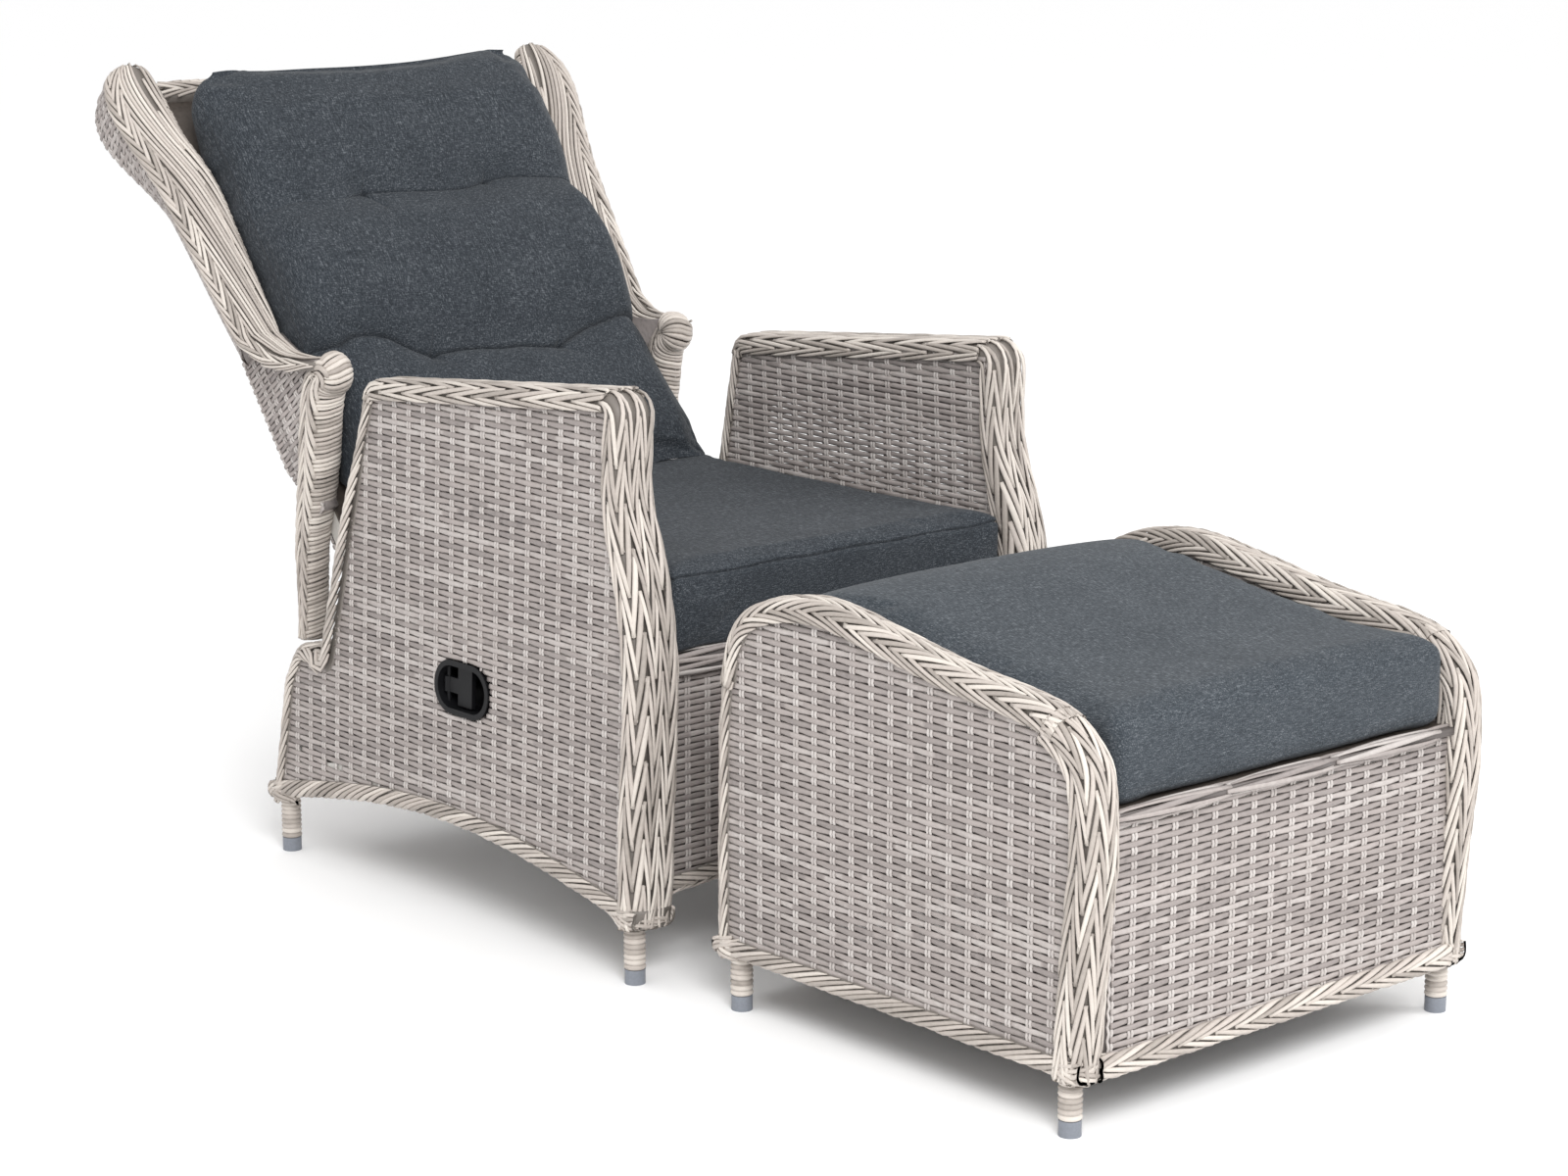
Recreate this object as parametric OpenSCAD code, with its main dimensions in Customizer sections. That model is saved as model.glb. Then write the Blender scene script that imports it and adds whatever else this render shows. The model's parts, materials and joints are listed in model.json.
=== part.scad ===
// Reclining wing chair in woven wicker with a matching footstool, standing as it is used lying back.
// Millimetres. X runs across the chair, Y from the footstool to the back, Z up from the floor.

/* [Chair sides] */
// Width across the two sides at their foot
chair_w = 710; // [640:5:780]
// Height of an arm at its front end
arm_h = 705; // [660:5:750]
// Depth of a side from the front post to the rear post
side_depth = 764; // [720:2:810]
// Thickness of an arm
arm_t = 58; // [52:1:64]
// Lean of the sides towards the seat, in degrees
side_lean = 2.1; // [0.5:0.1:3]
// Width of the plaited front post on the side
post_w = 31; // [30:1:60]
// Width of the plait along the top of an arm
arm_braid_w = 22; // [16:1:28]
// Width of the plait along the rear edge of an arm
rear_braid_w = 17; // [12:1:22]
// Width of the rope border along the bottom
skirt_w = 20; // [14:1:26]
// Height of the bottom border above the floor
skirt_z = 74; // [60:1:90]
// Rise of the arch along the bottom of the sides
arch_rise = 50; // [20:1:70]
// Thickness of a woven skin
weave_t = 4; // [3:0.5:6]
// Depth of a woven skin below the plaits round it
weave_drop = 2; // [1:0.5:4]

/* [Legs] */
// Radius of a wrapped leg
leg_r = 12.5; // [10:0.5:15]
// Distance of a leg's centre from the outer face of its side
leg_inset = 18; // [16:1:24]
// Distance of the front legs' centre from the front edge
leg_front = 16; // [15:1:30]
// Distance of the rear legs' centre from the rear edge
leg_rear = 16; // [15:1:30]
// Height of a foot cap
cap_h = 18; // [12:1:26]

/* [Seat] */
// Height of the underside of the seat tubes
seat_tube_z = 355; // [330:1:370]
// Side of a square frame tube
tube = 25; // [20:1:30]
// Thickness of the woven seat deck
deck_t = 6; // [4:1:10]
// Thickness of the seat cushion at its front
seat_pad_t = 104; // [80:1:120]
// Distance from the front edge of the side to the cushion's front
seat_pad_front = 15; // [8:1:30]
// Distance of the seat cushion's rear edge ahead of the recline hinge
seat_pad_in = 65.348; // [60:0.001:90]
// Gap between a cushion and the woven side beside it
pad_gap = 2; // [1:0.5:5]
// Distance from the front edge of the side to the woven apron
apron_in = 38; // [30:1:60]

/* [Backrest] */
// Distance of the recline hinge ahead of the rear edge of the sides
hinge_in = 79.708; // [76:0.001:84]
// Height of the recline hinge above the floor
hinge_z = 255; // [245:1:262]
// Lean of the backrest in the reclined position, in degrees
back_lean = 37; // [34:1:40]
// Length of the backrest from the hinge to its top
back_l = 850; // [800:2:920]
// Distance from the outer face of a side, at its foot, to the flat part of the backrest
back_in = 85; // [83:1:105]
// Distance of the back's front skin ahead of the hinge
back_front = 92; // [88:1:100]
// Height above the hinge at which the back's skins begin
back_low = 130; // [120:1:150]
// Height of the plaited rim at the top of the back
rim_h = 23; // [16:1:30]
// Distance of the wings' front face ahead of the hinge
wing_front = 140; // [130:1:146]
// Thickness of the plaited band on the front of a wing
band_t = 12; // [8:1:16]
// Height above the hinge at which the wings begin
wing_low = 430; // [420:1:440]
// Thickness of the back cushion between its creases
back_pad_t = 106; // [90:1:114]
// Depth of the creases across the back cushion
crease_d = 20; // [8:1:30]

/* [Gas spring and release] */
// Length from the hinge to the pin that the gas spring pushes
lever_r = 85; // [75:1:90]
// Angle of that lever ahead of straight down, in degrees
lever_a = 10; // [6:1:12]
// Radius of the gas spring's cylinder
gas_r = 14; // [11:0.5:16]
// Radius of the gas spring's rod
rod_r = 5; // [4:0.5:6]
// Radius of the pins at the ends of the gas spring
gas_pin_r = 5; // [4:0.5:6]
// Drop of the gas spring's fixed pin below the seat tubes
gas_drop = 65; // [55:1:75]
// Length of the release handle's frame
handle_l = 112; // [104:1:124]
// Height of the release handle's frame
handle_h = 68; // [64:1:76]
// Height of the handle's centre above the floor
handle_z = 298; // [280:1:320]
// Distance of the handle's centre ahead of the middle of the side
handle_y = 43; // [20:1:70]
// Depth of the handle's cup
cup_d = 34; // [30:1:38]
// Width of the release paddle
paddle_w = 29; // [24:1:32]
// Height of the release paddle
paddle_h = 48; // [40:1:50]

/* [Footstool] */
// Width of the footstool across its sides at their foot
stool_w = 634; // [580:2:680]
// Depth of the footstool
stool_depth = 612; // [560:2:680]
// Height of the footstool at its highest point
stool_h = 507; // [480:1:530]
// Thickness of a footstool side
stool_t = 40; // [36:1:52]
// Gap between the chair and the footstool
stool_gap = 99; // [60:1:200]
// Height of the footstool's bottom border above the floor
stool_skirt_z = 66; // [56:1:80]
// Height of the footstool's front panel
stool_panel_z = 350; // [330:1:365]
// Distance from the footstool's front edge to its front panel
stool_panel_in = 16; // [14:1:50]
// Thickness of the border along the footstool's front
stool_rim_t = 9; // [6:1:12]

/* [Hidden] */

// Clearances
seat_gap = 0.3;
run_gap = 0.05;
leg_gap = 0.2;
open_pivot_gap = 1.2;
far = 3000;

// Colours
cream = [0.80, 0.76, 0.71];
greige = [0.62, 0.57, 0.53];
slate = [0.24, 0.27, 0.31];
alu = [0.70, 0.71, 0.73];
steel = [0.55, 0.56, 0.58];
black = [0.08, 0.08, 0.09];
grey = [0.62, 0.64, 0.68];

// Places that follow from the sizes above
front_y = -0.507 * side_depth;
rear_y = 0.497 * side_depth;
half_w = chair_w / 2;
hinge_y = rear_y - hinge_in;
back_w = chair_w - 2 * back_in;
stool_half_w = stool_w / 2;
stool_front_y = front_y - stool_gap - stool_depth;
stool_mid_y = stool_front_y + stool_depth / 2;
deck_z = seat_tube_z + tube;
pad_z = deck_z + deck_t + seat_gap;
pad_top_z = pad_z + seat_pad_t;
pad_front_y = front_y + seat_pad_front;
seat_pad_l = hinge_y - seat_pad_in - pad_front_y;
seat_rear_y = pad_front_y + seat_pad_l - tube / 2;
back_rear = back_front - 2 * weave_t - tube;
back_top_y = hinge_y + back_l * sin(back_lean) - back_rear * cos(back_lean);
frame_shift = -(stool_front_y + back_top_y) / 2;
plait_t = 3 * weave_t;
leg_in = leg_r;

// Outline of a chair side as shares of its depth and height, with corner radii as shares of the arm's thickness
front_edge_shares = [[-0.502, 0.27], [-0.507, 0.49], [-0.497, 0.60], [-0.479, 0.69], [-0.448, 0.81],
    [-0.446, 0.90]];
top_front_share = [-0.450, 1.0, 0.5];
rear_edge_shares = [[0.2225, 0.932, 0.4], [0.343, 0.385, 0.1], [0.357, 0.412, 0.17], [0.425, 0.414, 0.5],
    [0.463, 0.34, 0.7], [0.479, 0.22, 0]];

// Outline of a footstool side as shares of its depth and height, from the rear foot over the top to the front foot
stool_edge_shares = [[0.481, 0.22], [0.480, 0.495], [0.476, 0.673], [0.458, 0.832], [0.416, 0.928],
    [0.320, 0.982], [0.192, 1.0], [0.051, 0.976], [-0.150, 0.933], [-0.323, 0.909], [-0.408, 0.884],
    [-0.467, 0.828], [-0.494, 0.757], [-0.500, 0.604], [-0.494, 0.523], [-0.481, 0.359], [-0.472, 0.203]];

// Front outline of a wing as shares of the back's width and length, from its inner lower corner round its tip
wing_shares = [[0.520, 0.506], [0.520, 0.66], [0.521, 0.772], [0.537, 0.829], [0.559, 0.875], [0.572, 0.941],
    [0.580, 0.978], [0.593, 1.002], [0.623, 1.014], [0.660, 1.009], [0.694, 0.990], [0.714, 0.959],
    [0.716, 0.923], [0.706, 0.885], [0.688, 0.835], [0.670, 0.779], [0.656, 0.698], [0.642, 0.595],
    [0.628, 0.506]];

// Side outline of a wing's lower part as shares of the back's length: distance ahead of the hinge, then height
cheek_front_shares = [[-0.040, 0.076], [-0.014, 0.103], [0.011, 0.132], [0.054, 0.179], [0.104, 0.222],
    [0.153, 0.265], [0.207, 0.321], [0.244, 0.353], [0.268, 0.355], [0.282, 0.366], [0.284, 0.383],
    [0.273, 0.397], [0.230, 0.423], [0.194, 0.453], [0.178, 0.480], [0.1647, 0.506]];
cheek_rear_shares = [[0.122, 0.506], [0.122, 0.445], [0.108, 0.338], [0.080, 0.248], [0.046, 0.211], [0.024, 0.190],
    [-0.014, 0.149], [-0.031, 0.118], [-0.043, 0.087]];

// Cushions as rows of shares: place along the length, width, underside, top
seat_pad_shares = [[0.002, 0.96, 0.18, 0.84], [0.01, 0.975, 0.08, 0.92], [0.03, 0.99, 0.02, 0.975],
    [0.08, 1, 0, 0.99], [0.2, 1, 0, 1], [0.35, 1, 0, 1], [0.5, 1, 0, 1], [0.65, 1, 0, 1], [0.8, 1, 0, 1],
    [0.92, 1, 0, 0.99], [0.97, 0.99, 0.02, 0.97], [0.99, 0.975, 0.08, 0.92], [0.998, 0.96, 0.18, 0.84]];
back_pad_shares = [[-0.067, 0.95, 0.003, 1.36], [-0.029, 0.96, 0.003, 1.41], [0.01, 0.975, 0.003, 1.42],
    [0.048, 0.985, 0.003, 1.39], [0.106, 0.99, 0.003, 1.32], [0.173, 0.995, 0.003, 1.22],
    [0.24, 0.995, 0.003, 1.12], [0.298, 0.985, 0.003, 1.0], [0.322, 0.98, 0.003, 0.91],
    [0.337, 0.975, 0.003, 0.84], [0.353, 0.98, 0.003, 0.91], [0.38, 0.985, 0.003, 1.0], [0.432, 0.995, 0.003, 1.08],
    [0.5, 1, 0.003, 1.1], [0.567, 0.995, 0.003, 1.07], [0.62, 0.99, 0.003, 0.99], [0.644, 0.985, 0.003, 0.9],
    [0.659, 0.98, 0.003, 0.83], [0.675, 0.985, 0.003, 0.9], [0.702, 0.99, 0.003, 0.98], [0.77, 1, 0.003, 1.06],
    [0.85, 0.995, 0.003, 1.07], [0.9, 0.985, 0.12, 1.04], [0.935, 0.965, 0.26, 1.0], [0.97, 0.935, 0.4, 0.94],
    [0.99, 0.89, 0.52, 0.86]];
back_tuft_shares = [[-0.36, 0.337], [0.36, 0.337], [-0.36, 0.659], [0.36, 0.659]];
stool_pad_shares = [[0.012, 0.95, 0.014, 0.742], [0.018, 0.97, 0.009, 0.768], [0.035, 0.985, 0.004, 0.81],
    [0.06, 0.995, 0, 0.845], [0.095, 1, 0, 0.873], [0.177, 1, 0, 0.9], [0.26, 1, 0, 0.912], [0.35, 1, 0, 0.925],
    [0.45, 1, 0, 0.947], [0.551, 1, 0, 0.968], [0.63, 1, 0, 0.982], [0.7, 1, 0, 0.99], [0.78, 1, 0, 0.984],
    [0.86, 1, 0, 0.962], [0.905, 0.995, 0, 0.925], [0.94, 0.985, 0.006, 0.865], [0.955, 0.97, 0.012, 0.8],
    [0.962, 0.95, 0.018, 0.75]];
cushion_shares = [0, 0.15, 0.3, 0.42, 0.54, 0.67, 0.79, 0.88, 0.94, 0.975, 0.993];

// Vector helpers
function unit(v) = v / norm(v);
function flat(v) = [for (row = v) each row];
function turn(d) = d > 180 ? d - 360 : d < -180 ? d + 360 : d;
function scaled(shares, w, l) = [for (s = shares) [s[0] * w, s[1] * l]];

// One rounded corner of an outline: an arc that touches both edges
function corner(p0, p1, p2, r) =
    let (d1 = unit(p0 - p1), d2 = unit(p2 - p1), half = acos(d1 * d2) / 2,
         c = p1 + unit(d1 + d2) * r / sin(half),
         s = p1 + d1 * r / tan(half) - c, e = p1 + d2 * r / tan(half) - c,
         a0 = atan2(s[1], s[0]), da = turn(atan2(e[1], e[0]) - a0), steps = 6)
    [for (k = [0:steps]) c + r * [cos(a0 + da * k / steps), sin(a0 + da * k / steps)]];

// A closed outline whose points hold a corner radius as their third value
function rounded(pts) = let (n = len(pts)) flat([for (i = [0:n - 1])
    let (p = pts[i], a = pts[(i + n - 1) % n], b = pts[(i + 1) % n])
    p[2] > 0 ? corner([a[0], a[1]], [p[0], p[1]], [b[0], b[1]], p[2]) : [[p[0], p[1]]]]);

// A smooth open curve through points
function spline(pts, steps = 4) = let (n = len(pts)) flat([for (i = [0:n - 2])
    let (a = pts[max(i - 1, 0)], b = pts[i], c = pts[i + 1], d = pts[min(i + 2, n - 1)])
    [for (k = [0:steps - (i == n - 2 ? 0 : 1)]) let (t = k / steps)
        0.5 * (2 * b + (c - a) * t + (2 * a - 5 * b + 4 * c - d) * t * t + (3 * b - a - 3 * c + d) * t * t * t)]]);

// One section of a cushion across its width: rounded at both sides, with the top drawn in at the tufts
function swell(t) = pow(1 - pow(abs(t), 5), 0.2);
function section(row, tufts, dip) = let (n = len(cushion_shares) - 1, mid = (row[2] + row[3]) / 2, h = (row[3] - row[2]) / 2,
    across = concat([for (k = [0:n]) -cushion_shares[n - k]], [for (k = [1:n]) cushion_shares[k]]))
    concat([for (t = across) [t * row[1], mid - h * swell(t)]],
        [for (k = [0:2 * n]) let (t = across[2 * n - k], sunk = len(tufts) == 0 ? 0 :
            max([for (q = tufts) exp(-pow((t - q[0]) * 9, 2) - pow((row[0] - q[1]) * 24, 2))]))
            [t * row[1], mid + h * swell(t) - dip * sunk]]);

// A closed solid through sections of equal count, drawn with triangles
module loft(rings) {
    n = len(rings[0]);
    m = len(rings);
    sides = flat([for (i = [0:m - 2]) for (k = [0:n - 1]) let (a = i * n + k, b = i * n + (k + 1) % n)
        [[a, b, b + n], [a, b + n, a + n]]]);
    first = [for (k = [1:n - 2]) [0, k + 1, k]];
    last = [for (k = [1:n - 2]) [(m - 1) * n, (m - 1) * n + k, (m - 1) * n + k + 1]];
    polyhedron(points = flat(rings), faces = concat(sides, first, last));
}

// Outline of a chair side in depth and height
arch_steps = 16;
arch_curve = [for (k = [0:arch_steps]) let (t = k / arch_steps)
    [rear_y + (front_y - rear_y) * t, skirt_z + arch_rise * sin(180 * t), 0]];
front_curve = [for (p = spline(scaled(front_edge_shares, side_depth, arm_h))) [p[0], p[1], 0]];
side_outline = rounded(concat(arch_curve, front_curve,
    [for (s = concat([top_front_share], rear_edge_shares)) [s[0] * side_depth, s[1] * arm_h, s[2] * arm_t]]));

// Outline of a footstool side in depth and height
stool_outline = concat([[stool_mid_y + 0.480 * stool_depth, stool_skirt_z]],
    [for (p = spline(scaled(stool_edge_shares, stool_depth, stool_h), 3)) [stool_mid_y + p[0], p[1]]],
    [[stool_mid_y - 0.470 * stool_depth, stool_skirt_z]]);

// Distance from the middle plane to the inner face of a chair side
function inner_x(z) = half_w - (z - skirt_z) * tan(side_lean) - arm_t / cos(side_lean);
stool_inner_x = stool_half_w - stool_t;

// Everything stands in the row frame through this module
module placed() translate([0, frame_shift, 0]) children();
module both() {
    children();
    mirror([1, 0, 0]) children();
}

// A child drawn from x = -thickness to 0 stands as a chair side that leans towards the seat
module left_side() translate([half_w, 0, skirt_z]) rotate([0, -side_lean, 0]) translate([0, 0, -skirt_z]) children();
module right_side() mirror([1, 0, 0]) left_side() children();
module both_sides() both() left_side() children();

// A flat shape in depth and height, between two depths below a side's outer face
module slab(from, to) translate([-to, 0, 0]) rotate([90, 0, 90]) linear_extrude(to - from) children();

// A flat shape in width and height, standing across the chair behind a given depth
module across(y0, t) translate([0, y0 + t, 0]) rotate([90, 0, 0]) linear_extrude(t) children();

// A child drawn with its height up the back and its front towards -Y stands at the backrest's lean
module on_back() placed() translate([0, hinge_y, hinge_z]) rotate([-back_lean, 0, 0]) children();

// A flat shape in width and height of the back, from one distance ahead of the hinge to a nearer one
module back_plate(from, to) rotate([90, 0, 0]) translate([0, 0, to]) linear_extrude(from - to) children();

// A flat shape drawn in depth and height, between two distances from the middle plane
module upright(from, to) translate([from, 0, 0]) rotate([90, 0, 90]) linear_extrude(to - from) children();

module box(x0, x1, y0, y1, z0, z1) translate([x0, y0, z0]) cube([x1 - x0, y1 - y0, z1 - z0]);
module bar_x(x0, x1, y, z, r) translate([x0, y, z]) rotate([0, 90, 0]) cylinder(r = r, h = x1 - x0, $fn = 32);

// Regions of a chair side
module side_shape() polygon(side_outline);
module shifted(y, z) translate([y, z]) side_shape();
module post_shape() difference() {
    intersection() {
        side_shape();
        translate([-far, 0]) square([far - side_depth / 4, far]);
    }
    shifted(post_w, 0);
}
module rest_shape() intersection() {
    side_shape();
    shifted(post_w, 0);
}
module top_shape() difference() {
    intersection() {
        rest_shape();
        translate([-far, arm_h / 2]) square([2 * far, far]);
    }
    shifted(0, -arm_braid_w);
}
module skirt_shape() difference() {
    intersection() {
        rest_shape();
        translate([-far, 0]) square([2 * far, arm_h / 2]);
    }
    shifted(0, skirt_w);
}
module middle_shape() intersection() {
    rest_shape();
    shifted(0, -arm_braid_w);
    shifted(0, skirt_w);
}
module panel_shape() intersection() {
    middle_shape();
    shifted(-rear_braid_w, 0);
}
module rear_shape() difference() {
    middle_shape();
    shifted(-rear_braid_w, 0);
}
module frame_ring(t) difference() {
    children();
    offset(delta = -t) children();
}
module cup_shape(margin) translate([-handle_y, handle_z]) hull() for (s = [-1, 1])
    translate([s * (handle_l - handle_h) / 2, 0]) circle(r = handle_h / 2 - margin, $fn = 48);

// Room taken by both chair sides, for ends that seat flush against them
module side_room() both_sides() slab(-side_depth / 8, arm_t) translate([-far, -far]) square([2 * far, 2 * far]);
module leg_places() for (y = [front_y + leg_front, rear_y - leg_rear])
    translate([half_w - leg_inset, y, 0]) children();
module leg_holes() both() leg_places() cylinder(r = leg_r + leg_gap, h = skirt_z + leg_in, $fn = 32);
module cable_line(r) bar_x(-half_w, -fork_x - fork_t, -handle_y - lug_r / 2, handle_z + weave_t, r);

module arm_frames() placed() color(alu) both_sides() slab(weave_drop + weave_t, arm_t - weave_t) {
    frame_ring(tube) panel_shape();
    intersection() {
        offset(delta = -tube) panel_shape();
        translate([-far, seat_tube_z]) square([2 * far, tube]);
    }
}
module outer_weave() slab(weave_drop, weave_drop + weave_t) children();
module outer_weave_left() placed() color(greige) left_side() outer_weave() panel_shape();
module outer_weave_right() placed() color(greige) right_side() outer_weave() difference() {
    panel_shape();
    cup_shape(weave_t);
}
module inner_weaves() placed() color(greige) difference() {
    both_sides() slab(arm_t - weave_t, arm_t) panel_shape();
    cable_line(cable_r + seat_gap);
}
module front_post_braids() placed() color(cream) difference() {
    both_sides() slab(0, arm_t) post_shape();
    leg_holes();
}
module arm_top_braids() placed() color(cream) both_sides() slab(0, arm_t) top_shape();
module arm_rear_braids() placed() color(cream) both_sides() slab(0, arm_t) rear_shape();
module skirt_braids() placed() color(cream) difference() {
    both_sides() slab(0, arm_t) skirt_shape();
    leg_holes();
}
module chair_legs() placed() color(cream) both() leg_places()
    translate([0, 0, cap_h]) cylinder(r = leg_r, h = skirt_z + leg_in - cap_h, $fn = 32);
module chair_foot_caps() placed() color(grey) both() leg_places() cylinder(r = leg_r, h = cap_h, $fn = 32);

// Panels between the sides
apron_y = front_y + apron_in;
rear_weave_y = rear_y - leg_rear - leg_r + weave_t;
rim_z = seat_tube_z + weave_t;
function low_edge(z0, rise, steps = 12) = [for (k = [0:steps]) let (t = k / steps)
    [half_w * (2 * t - 1), z0 + rise * sin(180 * t)]];
module apron_outline(top) polygon(concat(low_edge(skirt_z + skirt_w / 2, skirt_w), [[half_w, top], [-half_w, top]]));
module apron_panel(top) intersection() {
    apron_outline(top);
    translate([0, skirt_w]) apron_outline(top);
}
module apron_border() difference() {
    apron_outline(seat_tube_z / 2);
    translate([0, skirt_w]) apron_outline(seat_tube_z);
}
module front_apron() placed() color(greige) difference() {
    across(apron_y, weave_t) apron_panel(rim_z);
    side_room();
}
module rear_weave() placed() color(greige) difference() {
    across(rear_weave_y, weave_t) apron_panel(hinge_z + 2 * weave_t);
    side_room();
}
module apron_skirt_braids() placed() color(cream) difference() {
    for (y = [apron_y, rear_weave_y]) across(y - weave_t, plait_t) apron_border();
    side_room();
}
module apron_rim_braid() placed() color(cream) difference() {
    box(-half_w, half_w, apron_y + weave_t - plait_t, apron_y + weave_t, rim_z, deck_z + deck_t);
    side_room();
}

// Seat frame
cross_y = [apron_y + weave_t, -handle_y - tube / 2, seat_rear_y - tube];
rail_in = inner_x(seat_tube_z) - tube;
module seat_rails() placed() color(alu) difference() {
    both() box(rail_in, half_w, cross_y[0], seat_rear_y, seat_tube_z, deck_z);
    side_room();
}
module seat_cross_tubes() placed() color(alu)
    for (y = cross_y) box(-rail_in, rail_in, y, y + tube, seat_tube_z, deck_z);
module seat_deck() placed() color(greige) difference() {
    box(-half_w, half_w, cross_y[0], seat_rear_y, deck_z, deck_z + deck_t);
    side_room();
}
hinge_tube_y = rear_weave_y - tube;
hinge_tube_z = hinge_z - 2.4 * tube;
module hinge_tube() placed() color(alu) difference() {
    box(-half_w, half_w, hinge_tube_y, rear_weave_y, hinge_tube_z, hinge_tube_z + tube);
    side_room();
}
pad_half_w = inner_x(pad_top_z) - pad_gap;
module seat_cushion() placed() color(slate) loft([for (row = seat_pad_shares) [for (p = section(row, [], 0))
    [p[0] * pad_half_w, pad_front_y + row[0] * seat_pad_l, pad_z + p[1] * seat_pad_t]]]);

// Recline hinge: the lugs of the back turn on pins held by plates on the rear tube
pin_r = tube / 4;
lug_r = tube * 0.56;
plate_t = tube / 3;
lug_x = back_w / 2 - plate_t;
bracket_x = lug_x - plate_t - weave_t;
module hinge_brackets() placed() color(steel) both() difference() {
    upright(bracket_x, bracket_x + plate_t) {
        translate([hinge_y, hinge_z]) circle(r = lug_r, $fn = 48);
        polygon([[hinge_y - lug_r, hinge_z], [hinge_tube_y, hinge_tube_z + tube],
            [hinge_tube_y + tube, hinge_tube_z + tube], [hinge_y + lug_r, hinge_z]]);
    }
    bar_x(0, half_w, hinge_y, hinge_z, pin_r);
}
module hinge_pins() placed() color(steel) both() {
    bar_x(bracket_x - weave_t, back_w / 2 + weave_t, hinge_y, hinge_z, pin_r);
    bar_x(bracket_x - weave_t, bracket_x, hinge_y, hinge_z, pin_r * 1.6);
    bar_x(bracket_x + plate_t, lug_x - seat_gap, hinge_y, hinge_z, pin_r * 1.5);
    bar_x(back_w / 2 + seat_gap, back_w / 2 + weave_t, hinge_y, hinge_z, pin_r * 1.6);
}
back_foot = tube * 1.2;
module hinge_lugs() on_back() color(steel) both() difference() {
    upright(lug_x, back_w / 2) {
        circle(r = lug_r, $fn = 48);
        polygon([[0, -lug_r], [lug_r, 0], [-back_rear - weave_t, back_foot], [-back_front + weave_t, back_foot]]);
    }
    bar_x(0, half_w, 0, 0, pin_r + run_gap);
}

// Backrest frame and skins
skin_top = back_l - rim_h;
module back_side_tubes() on_back() color(alu) both()
    box(back_w / 2 - tube, back_w / 2, -back_front + weave_t, -back_rear - weave_t, back_foot, skin_top);
back_cross_a = [back_foot, wing_low, skin_top - tube];
module back_cross_tubes() on_back() color(alu) for (a = back_cross_a)
    box(tube - back_w / 2, back_w / 2 - tube, -back_front + weave_t, -back_rear - weave_t, a, a + tube);
module back_front_weave() on_back() color(greige)
    box(-back_w / 2, back_w / 2, -back_front, -back_front + weave_t, back_low, skin_top);
module back_rear_weave() on_back() color(greige)
    box(-back_w / 2, back_w / 2, -back_rear - weave_t, -back_rear, back_low, skin_top);
module back_top_braid() on_back() color(cream)
    box(-back_w / 2, back_w / 2, -back_front - rim_h + weave_t, -back_rear, skin_top, back_l);

// Wings
band_in = wing_front - band_t;
shell_rear = back_rear + weave_t;
shell_layer = (band_in - shell_rear) / 4;
module wing_shape() polygon(spline(scaled(wing_shares, back_w, back_l), 3));
module wing_inset(d) intersection() {
    wing_shape();
    translate([-d, 0]) wing_shape();
}
module wing_bands() on_back() color(cream) both() back_plate(wing_front, band_in) wing_shape();
module wing_shells() on_back() color(greige) both() {
    for (k = [0:3]) back_plate(band_in - k * shell_layer, band_in - (k + 1) * shell_layer)
        wing_inset(k * shell_layer * 0.75);
    back_plate(back_front - weave_t, shell_rear) translate([back_w / 2, wing_low]) square([tube, skin_top - wing_low]);
}
module cheek_shape() polygon([for (s = concat(spline(cheek_front_shares, 3), cheek_rear_shares))
    [-s[0] * back_l, s[1] * back_l]]);
module cheek_inner() intersection() {
    cheek_shape();
    translate([arm_t * 0.3, arm_t * 0.3]) cheek_shape();
    translate([arm_t * 0.2, -arm_t * 0.2]) cheek_shape();
    translate([-back_l, back_l * 0.235]) square([back_l, back_l]);
}
post_x = back_w / 2 + tube * 1.25;
ear_x = back_w / 2 + tube * 2;
module cheek_edge() difference() {
    cheek_shape();
    cheek_inner();
}
module wing_posts() on_back() color(cream) both() {
    upright(back_w / 2, post_x) cheek_edge();
    upright(post_x, ear_x) intersection() {
        cheek_edge();
        translate([-back_l, back_l * 0.345]) square([back_l, back_l]);
    }
}
module cheek_weaves() on_back() color(greige) both() {
    intersection() {
        upright(back_w / 2, ear_x) cheek_inner();
        translate([post_x, -back_l * 0.26, 0]) rotate([0, 0, -6]) box(-far, 0, -far, far, -far, far);
    }
    upright(back_w / 2, back_w / 2 + plait_t) difference() {
        polygon([[-shell_rear, wing_low], [-shell_rear, back_low + arm_t], [-back_front, back_low + arm_t],
            [-back_front - plait_t, wing_low - arm_t], [-back_front - plait_t, wing_low]]);
        cheek_edge();
    }
}

// Back cushion, cut level where it rests on the seat cushion
back_pad_half = back_w / 2 - pad_gap;
back_pad_low = back_low + weave_t * 1.75;
back_pad_l = back_l - rim_h - back_pad_low;
module back_cushion() color(slate) difference() {
    on_back() loft([for (row = back_pad_shares) [for (p = section(row, back_tuft_shares, crease_d / back_pad_t / 2))
        [-p[0] * back_pad_half, -back_front - p[1] * back_pad_t, back_pad_low + row[0] * back_pad_l]]]);
    placed() box(-far, far, -far, far, 0, pad_top_z + seat_gap);
}

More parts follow.
